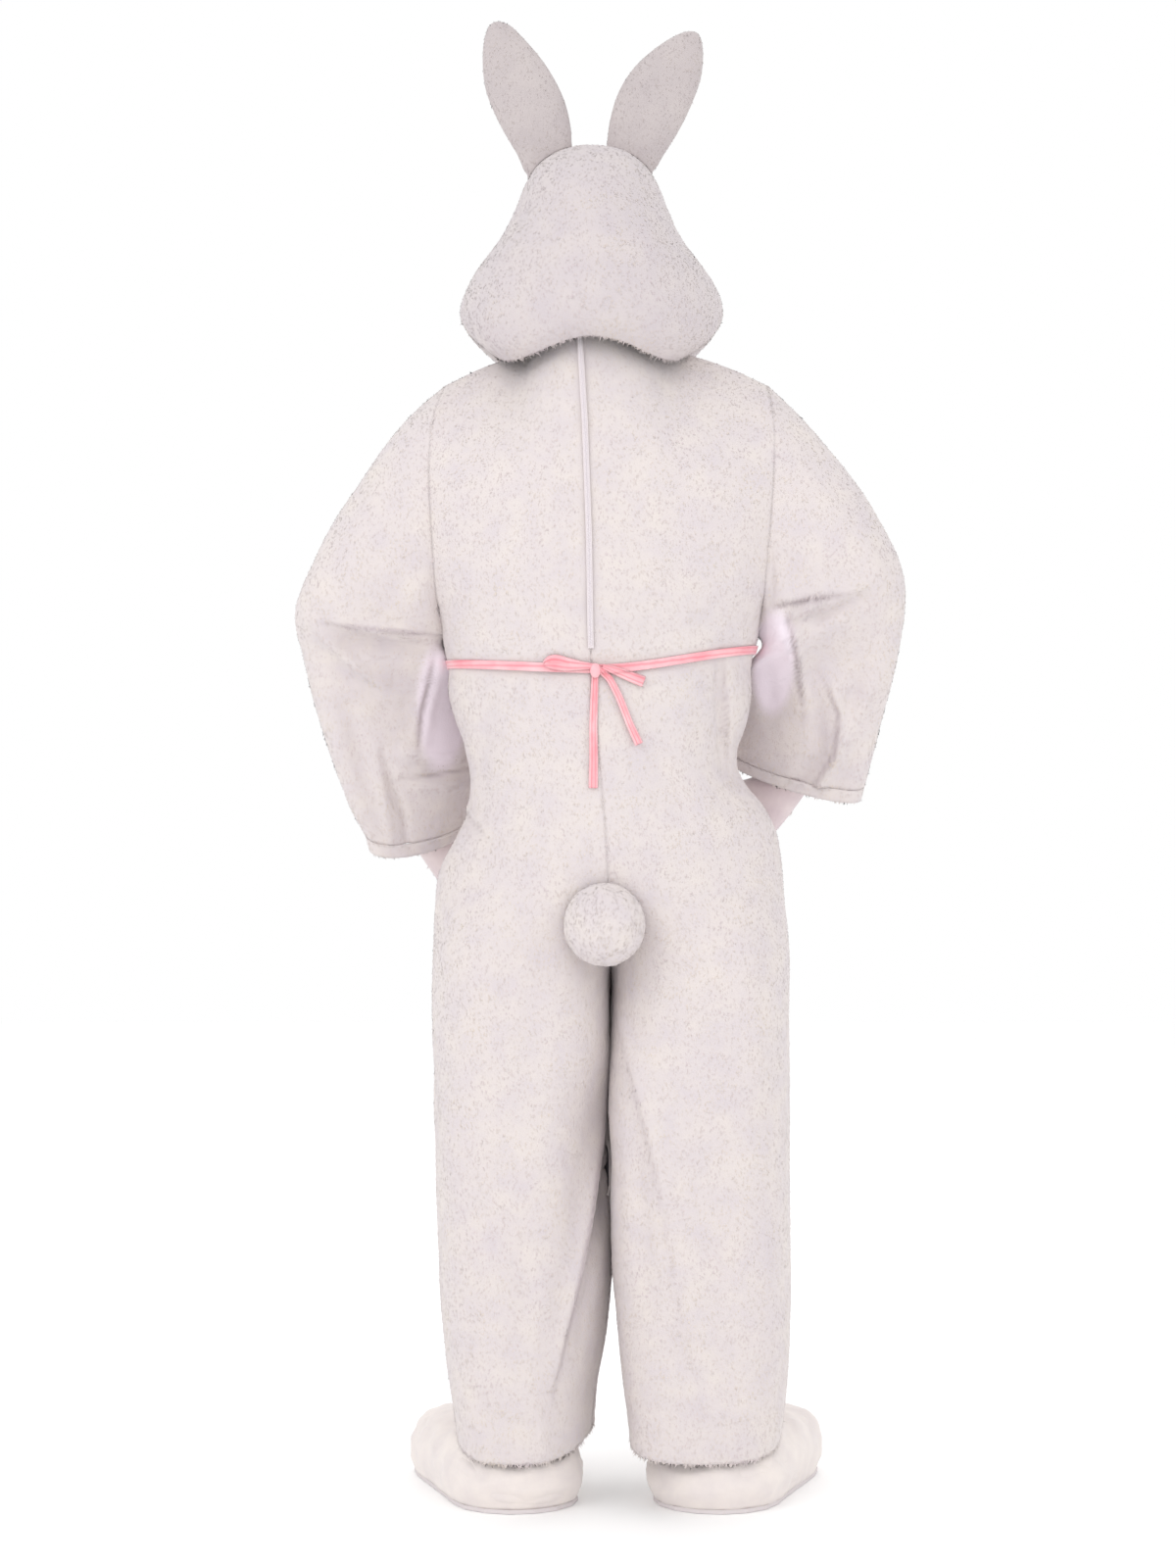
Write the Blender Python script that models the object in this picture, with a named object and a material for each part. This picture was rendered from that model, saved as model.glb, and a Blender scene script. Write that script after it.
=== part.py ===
"""A worn rabbit mascot costume: plush jumpsuit, hollow head with ears, mittens and shoe covers.

Metres, +Z up, +Y the way the wearer faces, +X the wearer's right. The origin is at the neck of the
wearer. Every height in the tables is measured from the floor, which an empty places.
"""

import math
from collections import namedtuple

import bmesh
import bpy
from mathutils import Vector
from mathutils.bvhtree import BVHTree

# Driving sizes
NECK_HEIGHT = 1.44
SEAM_GAP = 0.0003
SEAT_GAP = 0.0005
PLUSH = 0.0045
WALL_ROUNDS = 14  # a wall is made thinner step by step where a tight fold would cross itself
WALL_STEP = 0.82
WALL_LEAST = 0.22
HEAD_WALL = 0.010
GLOVE_WALL = 0.003
COVER_WALL = 0.004
COLUMNS = 9  # strips of a panel from its inner edge to the side seam

# Heights of the jumpsuit's sections
LEG_ROWS = (0.085, 0.115, 0.15, 0.20, 0.26, 0.32, 0.38, 0.44, 0.50, 0.55, 0.60)
CROTCH_HEIGHT = 0.64
SEAT_ROWS = (0.67, 0.70, 0.73, 0.765, 0.80)
BODY_ROWS = (0.832, 0.865, 0.90, 0.935, 0.97, 1.005, 1.032, 1.053, 1.074)
UNDERARM_HEIGHT = 1.095
ARMHOLE_ROWS = (1.135, 1.175, 1.215, 1.26, 1.30)
YOKE_STEPS = (0.3, 0.58, 0.82, 1.0)

# Legs and hips
HEM_SLOPE = 0.175  # the hem rises towards the instep
HEM_FADE_TOP = 0.22
LEG_LEAN = 0.20  # the front of each inner side lies further to the right than its back
LEG_LEAN_TOP = 0.58
LEG_SIDE_POWER = 0.68
LEG_DEPTH_POWER = 0.85
HIP_BLEND_TOP = 0.80

# Armholes and neck
ARMHOLE_DEPTH = {"back": 0.085, "front": 0.090}
ARMHOLE_TURN = 38.0
SHOULDER = {"left": (-0.198, 0.0, 1.416), "right": (0.214, 0.0, 1.416)}
NECK_SIDE = {"left": (-0.085, 0.0, 1.457), "right": (0.075, 0.0, 1.464)}
NECK_CENTRE = {"back": (-0.027, -0.080, 1.486), "front": (-0.020, 0.085, 1.395)}
NECK_SHARE = 4  # strips of a panel that end at the neckline
YOKE_RISE = 0.11
YOKE_TURN = {"back": 0.075, "front": -0.085}
SHOULDER_CROWN = 0.006

Torso = namedtuple("Torso", "height left right centre back front")
TORSO = (
    Torso(0.600, -0.2140, 0.2430, 0.0140, 0.150, 0.138),
    Torso(0.707, -0.2140, 0.2410, 0.0120, 0.156, 0.140),
    Torso(0.782, -0.2090, 0.2350, 0.0100, 0.158, 0.142),
    Torso(0.808, -0.2065, 0.2340, 0.0090, 0.157, 0.143),
    Torso(0.832, -0.1890, 0.2310, 0.0080, 0.155, 0.143),
    Torso(0.869, -0.1690, 0.2180, 0.0050, 0.150, 0.143),
    Torso(0.907, -0.1650, 0.1830, 0.0015, 0.146, 0.143),
    Torso(0.938, -0.1670, 0.1680, -0.0020, 0.143, 0.143),
    Torso(0.976, -0.1800, 0.1880, -0.0050, 0.141, 0.143),
    Torso(1.007, -0.1940, 0.1950, -0.0080, 0.140, 0.143),
    Torso(1.030, -0.1955, 0.1960, -0.0095, 0.139, 0.142),
    Torso(1.053, -0.1925, 0.1930, -0.0110, 0.136, 0.140),
    Torso(1.074, -0.1980, 0.1980, -0.0115, 0.139, 0.142),
    Torso(1.095, -0.2040, 0.2040, -0.0120, 0.141, 0.143),
    Torso(1.219, -0.2110, 0.2130, -0.0140, 0.143, 0.138),
    Torso(1.300, -0.2150, 0.2180, -0.0170, 0.136, 0.131),
    Torso(1.360, -0.2130, 0.2200, -0.0200, 0.125, 0.120),
    Torso(1.416, -0.1980, 0.2140, -0.0240, 0.105, 0.100),
)

Leg = namedtuple("Leg", "height inner outer back front")
LEGS = {
    "left": (
        Leg(0.085, -0.0085, -0.1830, 0.122, 0.095),
        Leg(0.115, -0.0065, -0.1890, 0.121, 0.098),
        Leg(0.150, -0.0030, -0.1935, 0.119, 0.102),
        Leg(0.200, 0.0080, -0.2000, 0.118, 0.106),
        Leg(0.269, 0.0160, -0.2060, 0.120, 0.110),
        Leg(0.394, 0.0150, -0.2100, 0.126, 0.116),
        Leg(0.519, 0.0140, -0.2125, 0.134, 0.124),
        Leg(0.600, 0.0138, -0.2140, 0.144, 0.132),
        Leg(0.640, 0.0140, -0.2150, 0.150, 0.137),
        Leg(0.800, 0.0140, -0.2150, 0.158, 0.142),
    ),
    "right": (
        Leg(0.085, 0.0400, 0.2325, 0.122, 0.095),
        Leg(0.115, 0.0370, 0.2385, 0.121, 0.098),
        Leg(0.150, 0.0310, 0.2410, 0.119, 0.102),
        Leg(0.200, 0.0255, 0.2440, 0.118, 0.106),
        Leg(0.269, 0.0196, 0.2450, 0.120, 0.110),
        Leg(0.394, 0.0174, 0.2440, 0.126, 0.116),
        Leg(0.519, 0.0160, 0.2425, 0.134, 0.124),
        Leg(0.600, 0.0148, 0.2430, 0.144, 0.132),
        Leg(0.640, 0.0140, 0.2430, 0.150, 0.137),
        Leg(0.800, 0.0140, 0.2430, 0.158, 0.142),
    ),
}

# Sleeve sections: the point over the arm, the point under it, and how far the cloth stands off
# the line between them towards the back and the front
Sleeve = namedtuple("Sleeve", "over under back front")
SLEEVES = {
    "left": (
        Sleeve((-0.238, 0.000, 1.384), (-0.213, 0.000, 1.090), 0.088, 0.088),
        Sleeve((-0.280, -0.002, 1.332), (-0.216, 0.008, 1.081), 0.090, 0.084),
        Sleeve((-0.320, -0.006, 1.272), (-0.212, 0.020, 1.073), 0.092, 0.080),
        Sleeve((-0.355, -0.010, 1.213), (-0.206, 0.035, 1.063), 0.092, 0.076),
        Sleeve((-0.380, -0.014, 1.162), (-0.198, 0.050, 1.053), 0.088, 0.074),
        Sleeve((-0.386, -0.012, 1.122), (-0.189, 0.067, 1.042), 0.072, 0.070),
        Sleeve((-0.3815, -0.004, 1.082), (-0.177, 0.085, 1.024), 0.054, 0.062),
        Sleeve((-0.374, 0.008, 1.040), (-0.165, 0.102, 0.998), 0.048, 0.056),
        Sleeve((-0.364, 0.022, 0.998), (-0.154, 0.116, 0.966), 0.050, 0.052),
        Sleeve((-0.352, 0.038, 0.955), (-0.144, 0.124, 0.936), 0.052, 0.048),
        Sleeve((-0.338, 0.054, 0.916), (-0.146, 0.130, 0.914), 0.050, 0.046),
        Sleeve((-0.322, 0.068, 0.876), (-0.156, 0.134, 0.886), 0.045, 0.044),
        Sleeve((-0.306, 0.080, 0.842), (-0.165, 0.138, 0.869), 0.041, 0.042),
    ),
    "right": (
        Sleeve((0.250, 0.000, 1.385), (0.213, 0.000, 1.090), 0.088, 0.088),
        Sleeve((0.290, -0.002, 1.339), (0.217, 0.008, 1.082), 0.090, 0.084),
        Sleeve((0.330, -0.006, 1.288), (0.213, 0.020, 1.075), 0.092, 0.080),
        Sleeve((0.363, -0.008, 1.234), (0.208, 0.035, 1.066), 0.092, 0.076),
        Sleeve((0.386, -0.010, 1.186), (0.202, 0.050, 1.056), 0.088, 0.074),
        Sleeve((0.392, -0.010, 1.148), (0.194, 0.066, 1.046), 0.074, 0.072),
        Sleeve((0.388, -0.006, 1.110), (0.185, 0.082, 1.034), 0.060, 0.066),
        Sleeve((0.382, 0.002, 1.074), (0.178, 0.094, 1.020), 0.054, 0.060),
        Sleeve((0.375, 0.012, 1.038), (0.172, 0.103, 1.003), 0.052, 0.056),
        Sleeve((0.367, 0.022, 1.002), (0.168, 0.108, 0.992), 0.050, 0.052),
        Sleeve((0.359, 0.034, 0.966), (0.166, 0.111, 0.980), 0.048, 0.049),
        Sleeve((0.351, 0.046, 0.932), (0.165, 0.113, 0.966), 0.045, 0.047),
        Sleeve((0.344, 0.056, 0.903), (0.165, 0.114, 0.952), 0.041, 0.045),
    ),
}
CUFF_BAND = {
    "left": Sleeve((-0.302, 0.084, 0.824), (-0.168, 0.143, 0.854), 0.040, 0.041),
    "right": Sleeve((0.340, 0.061, 0.886), (0.165, 0.113, 0.938), 0.040, 0.044),
}

SLEEVE_SKEW = 0.15
CUFF_TILT = {"left": 40.0, "right": 26.0, "from": 7, "over": 5}

# The largest folds: soft ridges (depth above 0) and troughs, along a line seen from behind
Fold = namedtuple("Fold", "panel x0 h0 x1 h1 width depth")
FOLDS = (
    Fold("back_right", 0.153, 1.050, 0.156, 0.915, 0.014, -0.010),
    Fold("back_left", 0.004, 0.550, -0.014, 0.400, 0.022, -0.012),
    Fold("back_left", -0.014, 0.400, -0.050, 0.130, 0.024, -0.014),
    Fold("back_right", 0.034, 0.540, 0.068, 0.450, 0.024, 0.007),
    Fold("back_right", 0.068, 0.450, 0.076, 0.300, 0.024, 0.008),
    Fold("back_right", 0.076, 0.300, 0.110, 0.170, 0.024, 0.006),
    Fold("back_left", -0.135, 0.820, -0.070, 0.700, 0.030, -0.006),
    Fold("back_right", 0.165, 0.850, 0.080, 0.720, 0.030, -0.006),
    Fold("front_left", -0.140, 0.830, -0.060, 0.690, 0.030, -0.007),
    Fold("front_right", 0.160, 0.830, 0.080, 0.690, 0.030, -0.007),
    Fold("front_left", -0.080, 0.330, -0.140, 0.150, 0.026, -0.008),
    Fold("front_right", 0.110, 0.330, 0.170, 0.150, 0.026, -0.008),
    Fold("sleeve_left_back", -0.335, 1.098, -0.225, 1.090, 0.016, -0.016),
    Fold("sleeve_left_back", -0.386, 1.125, -0.290, 1.040, 0.014, 0.010),
    Fold("sleeve_left_back", -0.300, 0.955, -0.258, 0.835, 0.014, -0.009),
    Fold("sleeve_left_back", -0.250, 0.925, -0.185, 0.920, 0.016, 0.010),
    Fold("sleeve_right_back", 0.222, 1.128, 0.306, 1.140, 0.016, -0.014),
    Fold("sleeve_right_back", 0.236, 1.110, 0.262, 1.000, 0.016, 0.012),
    Fold("sleeve_right_back", 0.290, 1.040, 0.314, 0.950, 0.016, 0.012),
    Fold("sleeve_right_back", 0.352, 1.010, 0.300, 0.905, 0.014, -0.008),
    Fold("sleeve_left_front", -0.330, 1.100, -0.240, 1.080, 0.018, -0.012),
    Fold("sleeve_right_front", 0.340, 1.120, 0.250, 1.090, 0.018, -0.012),
)

# Head: half widths and depths of its sections, from the rolled rim to the crown
HEAD_X = -0.0106
HEAD_Y = 0.025
HEAD_COLUMNS = 24
HEAD_CROWN = 1.7275
HEAD_RIM_FADE = 0.10
HeadRow = namedtuple("HeadRow", "height half_width back front")
HEAD = (
    HeadRow(1.434, 0.1300, 0.152, 0.140),
    HeadRow(1.442, 0.1440, 0.164, 0.154),
    HeadRow(1.455, 0.1560, 0.173, 0.165),
    HeadRow(1.472, 0.1640, 0.179, 0.172),
    HeadRow(1.492, 0.1700, 0.183, 0.177),
    HeadRow(1.514, 0.1710, 0.184, 0.180),
    HeadRow(1.536, 0.1650, 0.182, 0.181),
    HeadRow(1.558, 0.1535, 0.178, 0.180),
    HeadRow(1.580, 0.1370, 0.174, 0.176),
    HeadRow(1.602, 0.1200, 0.167, 0.168),
    HeadRow(1.624, 0.1080, 0.157, 0.157),
    HeadRow(1.646, 0.0980, 0.144, 0.143),
    HeadRow(1.666, 0.0905, 0.129, 0.128),
    HeadRow(1.686, 0.0820, 0.109, 0.108),
    HeadRow(1.703, 0.0690, 0.085, 0.080),
    HeadRow(1.716, 0.0510, 0.058, 0.056),
    HeadRow(1.7245, 0.0260, 0.029, 0.028),
)
HEAD_RIM = {"back": 0.0275, "corner": 0.0, "side": 0.027, "front": 0.002}
MUZZLE = {"height": 1.508, "half_width": 0.075, "half_height": 0.050, "reach": 0.032}
EYE = {"x": 0.058, "height": 1.594, "half_width": 0.021, "half_height": 0.028, "dome": 0.010}
NOSE = {"x": 0.0, "height": 1.532, "half_width": 0.021, "half_height": 0.014, "dome": 0.012}

# Ears: the left and right edge of each section from the base to the tip, and its thickness
EarRow = namedtuple("EarRow", "left_x left_h right_x right_h thick")
EARS = {
    "left": (
        EarRow(-0.0950, 1.6900, -0.0360, 1.7290, 0.030),
        EarRow(-0.1030, 1.7080, -0.0352, 1.7380, 0.032),
        EarRow(-0.1180, 1.7300, -0.0370, 1.7520, 0.034),
        EarRow(-0.1330, 1.7580, -0.0405, 1.7700, 0.036),
        EarRow(-0.1450, 1.7850, -0.0460, 1.7870, 0.036),
        EarRow(-0.1500, 1.8080, -0.0555, 1.8060, 0.034),
        EarRow(-0.1512, 1.8310, -0.0680, 1.8270, 0.031),
        EarRow(-0.1505, 1.8500, -0.0840, 1.8470, 0.027),
        EarRow(-0.1470, 1.8670, -0.1010, 1.8650, 0.021),
        EarRow(-0.1420, 1.8790, -0.1140, 1.8780, 0.014),
    ),
    "right": (
        EarRow(0.0700, 1.6870, 0.0090, 1.7270, 0.030),
        EarRow(0.0800, 1.7080, 0.0095, 1.7370, 0.032),
        EarRow(0.0950, 1.7300, 0.0110, 1.7510, 0.034),
        EarRow(0.1100, 1.7560, 0.0150, 1.7690, 0.036),
        EarRow(0.1220, 1.7840, 0.0200, 1.7860, 0.036),
        EarRow(0.1310, 1.8080, 0.0290, 1.8050, 0.034),
        EarRow(0.1335, 1.8300, 0.0440, 1.8260, 0.031),
        EarRow(0.1335, 1.8480, 0.0640, 1.8440, 0.027),
        EarRow(0.1305, 1.8620, 0.0850, 1.8590, 0.021),
        EarRow(0.1260, 1.8690, 0.1030, 1.8680, 0.014),
    ),
}
EAR_TIP = {"left": (-0.129, 1.8850), "right": (0.1165, 1.8715)}
EAR_Y = 0.020
EAR_POINTS = 18
EAR_FOOT_LIFT = 0.0006
EAR_FOOT_SHARES = (0.34, 0.67)
EAR_FRONT = {"first": 2, "from_row": 2, "lift": 0.0006, "thick": 0.0025}
DOME_RINGS = 3
DOME_POINTS = 16
DOME_EDGE = 0.0015
DOME_LIFT = 0.0006

# Tail, ribbon and zip
TAIL = {"x": 0.005, "height": 0.735, "radius": 0.052, "sunk": 0.012}
RIBBON = {"width": 0.011, "thick": 0.0012, "lift": 0.0014, "steps": 60}
RIBBON_HEIGHT = {"back": 1.0490, "right": 1.0775, "front": 1.064, "left": 1.0585}
BOW_LIFT = 0.0036
BOW_STEPS = 14
LOOP_TURN = 158.0
RIBBON_CAST = 0.6
KNOT = {"x": -0.0060, "height": 1.0465, "size": (0.014, 0.008, 0.019), "lift": 0.0044}
Trail = namedtuple("Trail", "name width lift stations")
BOW_TAILS = (
    Trail("bow_tail_long", 0.009, 0.0010, ((-0.0085, 1.0375), (-0.0095, 1.005), (-0.0100, 0.965),
                                           (-0.0100, 0.9145))),
    Trail("bow_tail_short", 0.009, 0.0010, ((0.0035, 1.0345), (0.0150, 1.022), (0.0250, 1.000),
                                            (0.0320, 0.975), (0.0430, 0.954))),
)
Loop = namedtuple("Loop", "name inner outer width puff")
BOW_LOOPS = (
    Loop("bow_loop_left", (-0.0115, 1.0500), (-0.0660, 1.0545), 0.014, 0.0040),
    Loop("bow_loop_right", (0.0004, 1.0480), (0.0400, 1.0330), 0.012, 0.0035),
)
ZIP = {"half_width": 0.004, "lift": 0.0007, "thick": 0.0014, "first_row": 13}
SLIDER = {"width": 0.007, "depth": 0.004, "height": 0.010, "below_top": 0.010}
PULL = {"width": 0.005, "depth": 0.0012, "length": 0.013, "pin": 0.0012, "hinge_up": 0.003}

# Mittens: the line through the hand, and the sections along it
Hand = namedtuple("Hand", "wrist knuckle tip thumb_root thumb_tip")
HANDS = {
    "left": Hand((-0.236, 0.102, 0.885), (-0.218, 0.140, 0.796), (-0.092, 0.172, 0.764),
                 (-0.140, 0.176, 0.850), (-0.114, 0.198, 0.874)),
    "right": Hand((0.258, 0.074, 0.950), (0.250, 0.120, 0.872), (0.105, 0.178, 0.835),
                  (0.176, 0.158, 0.930), (0.146, 0.180, 0.956)),
}
HandRow = namedtuple("HandRow", "share half_width half_thick")
HAND_ROWS = (
    HandRow(0.00, 0.029, 0.020), HandRow(0.12, 0.029, 0.020), HandRow(0.24, 0.030, 0.021),
    HandRow(0.36, 0.031, 0.023), HandRow(0.50, 0.038, 0.026), HandRow(0.64, 0.047, 0.027),
    HandRow(0.77, 0.045, 0.024), HandRow(0.88, 0.036, 0.019), HandRow(0.96, 0.021, 0.011),
)
HAND_POINTS = 16
THUMB_POINTS = 10
THUMB_ROWS = (HandRow(0.0, 0.016, 0.015), HandRow(0.35, 0.019, 0.017), HandRow(0.7, 0.017, 0.015),
              HandRow(0.92, 0.010, 0.009))

# Shoe covers: round the heel and round the toes, with a low dome between them
Foot = namedtuple("Foot", "heel toe")
FEET = {
    "left": Foot((-0.108, -0.026), (-0.168, 0.148)),
    "right": Foot((0.148, -0.026), (0.212, 0.148)),
}
HEEL_RADIUS = 0.092
TOE_RADIUS = 0.084
FOOT_ARC = 8
FOOT_SIDE = 4
COVER_ROLL = 0.044
COVER_BULGE = 0.028
COVER_TURNS = (-45.0, -15.0, 15.0, 40.0, 65.0, 90.0)
COVER_HEIGHT = {"toe": 0.076, "heel": 0.078}
COVER_STRETCH = {"most": 1.15, "least": 0.80, "step": 0.004}
ANKLE = {"share": 0.10, "radius": 0.044, "foot": 0.092, "top": 0.135}
SOLE = {"thick": 0.005, "beyond": 0.001}

COLOURS = {
    "plush": ((0.83, 0.77, 0.78), 0.95, 0.0),
    "head_plush": ((0.72, 0.67, 0.68), 0.95, 0.0),
    "satin": ((0.90, 0.42, 0.50), 0.45, 0.0),
    "palm": ((0.66, 0.56, 0.60), 0.70, 0.0),
    "velour": ((0.80, 0.74, 0.76), 0.85, 0.0),
    "sole": ((0.55, 0.52, 0.53), 0.80, 0.0),
    "metal": ((0.60, 0.60, 0.62), 0.30, 1.0),
    "nylon": ((0.86, 0.83, 0.84), 0.60, 0.0),
    "eye": ((0.01, 0.01, 0.012), 0.15, 0.0),
}
SIDES = ("left", "right")
FACES = ("back", "front")


def smooth(share):
    """Eases a share between 0 and 1."""
    share = min(1.0, max(0.0, share))
    return share * share * (3.0 - 2.0 * share)


def mix(a, b, share):
    return a + (b - a) * share


def mix_points(a, b, share):
    return Vector(a).lerp(Vector(b), share)


def read_table(table, height):
    """The row of a table at a height, worked out between its neighbours."""
    if height <= table[0].height:
        return table[0]
    for low, high in zip(table, table[1:]):
        if height <= high.height:
            share = (height - low.height) / (high.height - low.height)
            return type(low)(*(mix(a, b, share) for a, b in zip(low, high)))
    return table[-1]


def power(value, exponent):
    return math.copysign(abs(value) ** exponent, value)


class Cloth:
    """A surface of named points, whose faces each belong to a panel."""

    def __init__(self):
        self.points = []
        self.names = {}
        self.faces = []

    def point(self, name, place):
        if name not in self.names:
            self.names[name] = len(self.points)
            self.points.append(Vector(place))
        return self.names[name]

    def face(self, panel, corners):
        corners = [c for i, c in enumerate(corners) if c != corners[i - 1]]
        if len(set(corners)) > 2:
            self.faces.append((panel, corners))

    def strips(self, panel, rows, flip=False):
        """Quads between neighbouring rows of point numbers."""
        for low, high in zip(rows, rows[1:]):
            for i in range(len(low) - 1):
                corners = [low[i], low[i + 1], high[i + 1], high[i]]
                self.face(panel, corners[::-1] if flip else corners)

    def normals(self):
        found = [Vector() for _ in self.points]
        for _, corners in self.faces:
            normal = Vector()
            for a, b in zip(corners, corners[1:] + corners[:1]):
                normal += self.points[a].cross(self.points[b])
            for corner in corners:
                found[corner] += normal
        return [n.normalized() for n in found]

    def press(self, folds):
        """Moves the points near each fold's line, seen from behind, along their normals."""
        normals = self.normals()
        on_panel = {}
        for panel, corners in self.faces:
            on_panel.setdefault(panel, set()).update(corners)
        moves = {}
        for fold in folds:
            start = Vector((fold.x0, fold.h0))
            line = Vector((fold.x1, fold.h1)) - start
            for number in on_panel[fold.panel]:
                place = Vector((self.points[number].x, self.points[number].z))
                along = min(1.0, max(0.0, (place - start).dot(line) / line.length_squared))
                off = (place - start - line * along).length / fold.width
                if off < 3.0:
                    fade = 0.55 + 0.45 * math.sin(math.pi * along)
                    moves[number] = moves.get(number, 0.0) + fold.depth * fade * math.exp(-off * off)
        for number, move in moves.items():
            self.points[number] += normals[number] * move

    def wall(self, panel, thick, gap=SEAM_GAP):
        """Points and faces of one panel as a closed wall, drawn in a little at its edges."""
        normals = self.normals()
        faces = [corners for name, corners in self.faces if name == panel]
        used = sorted({c for corners in faces for c in corners})
        number = {old: new for new, old in enumerate(used)}
        sides = {pair for corners in faces for pair in zip(corners, corners[1:] + corners[:1])}
        rim = sorted((a, b) for a, b in sides if (b, a) not in sides)
        inward = {}
        for a, b in rim:
            for end in (a, b):
                way = normals[end].cross(self.points[b] - self.points[a]).normalized()
                inward.setdefault(end, []).append(way)
        outer = []
        for old in used:
            place = self.points[old].copy()
            if old in inward:
                middle = sum(inward[old], Vector()).normalized()
                place += middle * gap / max(0.5, middle.dot(inward[old][0]))
            outer.append(place)
        shift = len(outer)
        made = []
        for corners in faces:
            a, b, c = corners[:3]
            if len(corners) == 4:
                made.append([a, c, corners[3]])
            made.append([a, b, c])
        made = [[number[c] for c in corners] for corners in made]
        made += [[shift + c for c in reversed(corners)] for corners in made]
        for a, b in rim:
            low, high = number[a], number[b]
            if a < b:
                made += [[high, low, shift + high], [low, shift + low, shift + high]]
            else:
                made += [[high, low, shift + low], [high, shift + low, shift + high]]
        share = [1.0] * shift
        for _ in range(WALL_ROUNDS):
            inner = [place - normals[old] * thick * part
                     for place, old, part in zip(outer, used, share)]
            tight = crossed(outer + inner, made)
            if not tight:
                break
            for corner in {c % shift for c in tight}:
                share[corner] = max(WALL_LEAST, share[corner] * WALL_STEP)
        return outer + inner, made


def crossed(points, faces):
    """The corners of faces that cross other faces of the same piece."""
    tree = BVHTree.FromPolygons(points, faces, all_triangles=True)
    corners = set()
    for a, b in tree.overlap(tree):
        if a != b and not set(faces[a]) & set(faces[b]):
            corners.update(faces[a])
            corners.update(faces[b])
    return corners


def new_material(name):
    colour, roughness, metallic = COLOURS[name]
    material = bpy.data.materials.new(name)
    material.use_nodes = True
    shader = material.node_tree.nodes["Principled BSDF"]
    shader.inputs["Base Color"].default_value = (*colour, 1.0)
    shader.inputs["Roughness"].default_value = roughness
    shader.inputs["Metallic"].default_value = metallic
    material.diffuse_color = (*colour, 1.0)
    return material


def add_mesh(name, bm, finish):
    """An object for one sub-part, standing on the floor's empty."""
    mesh = bpy.data.meshes.new(name)
    bm.to_mesh(mesh)
    bm.free()
    mesh.shade_smooth()
    mesh.set_sharp_from_angle(angle=math.radians(50))
    piece = bpy.data.objects.new(name, mesh)
    mesh.materials.append(new_material(finish))
    piece.data.materials[0].name = name
    bpy.data.collections["rabbit_costume"].objects.link(piece)
    piece.parent = bpy.data.objects["floor"]
    return piece


def add_faces(name, points, faces, finish):
    """An object from a lofted wall's points and faces."""
    bm = bmesh.new()
    corners = [bm.verts.new(p) for p in points]
    for face in faces:
        bm.faces.new([corners[i] for i in face])
    return add_mesh(name, bm, finish)


def trees(pieces):
    """A search tree of some pieces in world space, with points spread over their surface."""
    bpy.context.view_layer.update()
    points = []
    faces = []
    spread = []
    for piece in pieces:
        base = len(points)
        points += [piece.matrix_world @ v.co for v in piece.data.vertices]
        for face in piece.data.polygons:
            faces.append([base + i for i in face.vertices])
    for face in faces:
        places = [points[i] for i in face]
        middle = sum(places, Vector()) / len(places)
        spread.append(middle)
        spread += [(a + middle) / 2 for a in places]
        for share in (0.25, 0.5, 0.75):
            spread += [a.lerp(b, share) for a, b in zip(places, places[1:] + places[:1])]
    return BVHTree.FromPolygons(points, faces), points + spread


def touch(tree, start, way):
    """Where a ray first meets a surface, also when it falls into a seam's gap."""
    way = Vector(way).normalized()
    found = []
    for aside in ((0, 0), (0.0015, 0), (-0.0015, 0), (0, 0.0015), (0, -0.0015)):
        hit = tree.ray_cast(start + Vector((aside[0], aside[1], 0)), way)
        if hit[0] is not None:
            found.append((hit[3], hit[1]))
    nearest = min(length for length, _ in found)
    exact = tree.ray_cast(start, way)
    if exact[0] is not None and exact[3] < nearest + 0.004:
        return exact[0]
    return start + way * nearest


def seat(pieces, carriers, way, back_off=0.03, reach=0.08):
    """Slides pieces one way, from a little back, until they lie a hair off what carries them."""
    way = Vector(way).normalized()
    for piece in pieces:
        piece.location -= way * back_off
    own, own_points = trees(pieces)
    theirs, their_points = trees(carriers)
    free = reach
    for place in own_points:
        hit = theirs.ray_cast(place, way, free)
        free = hit[3] if hit[0] is not None else free
    for place in their_points:
        hit = own.ray_cast(place, -way, free)
        free = hit[3] if hit[0] is not None else free
    for piece in pieces:
        piece.location += way * (free - SEAT_GAP)
    clear_of(pieces, carriers, -way)


def clear_of(pieces, carriers, way, step=0.0002, most=40):
    """Slides pieces in small steps until they cross nothing that carries them."""
    theirs, _ = trees(carriers)
    for _ in range(most):
        own, _ = trees(pieces)
        if not own.overlap(theirs):
            break
        for piece in pieces:
            piece.location += Vector(way) * step


def torso_point(side, face, share, height):
    """A point of the body's section: share 0 at the centre seam, 1 at the side seam."""
    row = read_table(TORSO, height)
    width = getattr(row, side) - row.centre
    depth = getattr(row, face)
    edge = 0.0
    turn = 90.0
    shoulder = SHOULDER["left"][2]
    if height > UNDERARM_HEIGHT:
        middle = (UNDERARM_HEIGHT + shoulder) / 2
        rise = (height - middle) / ((shoulder - UNDERARM_HEIGHT) / 2)
        opening = math.sqrt(max(0.0, 1.0 - rise * rise))
        edge = ARMHOLE_DEPTH[face] * opening
        turn = 90.0 - ARMHOLE_TURN * opening
    end = math.radians(turn)
    angle = end * share
    x = row.centre + width * math.sin(angle) / math.sin(end)
    y = edge + (depth - edge) * (math.cos(angle) - math.cos(end)) / (1.0 - math.cos(end))
    return Vector((x, y if face == "front" else -y, height))


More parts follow.
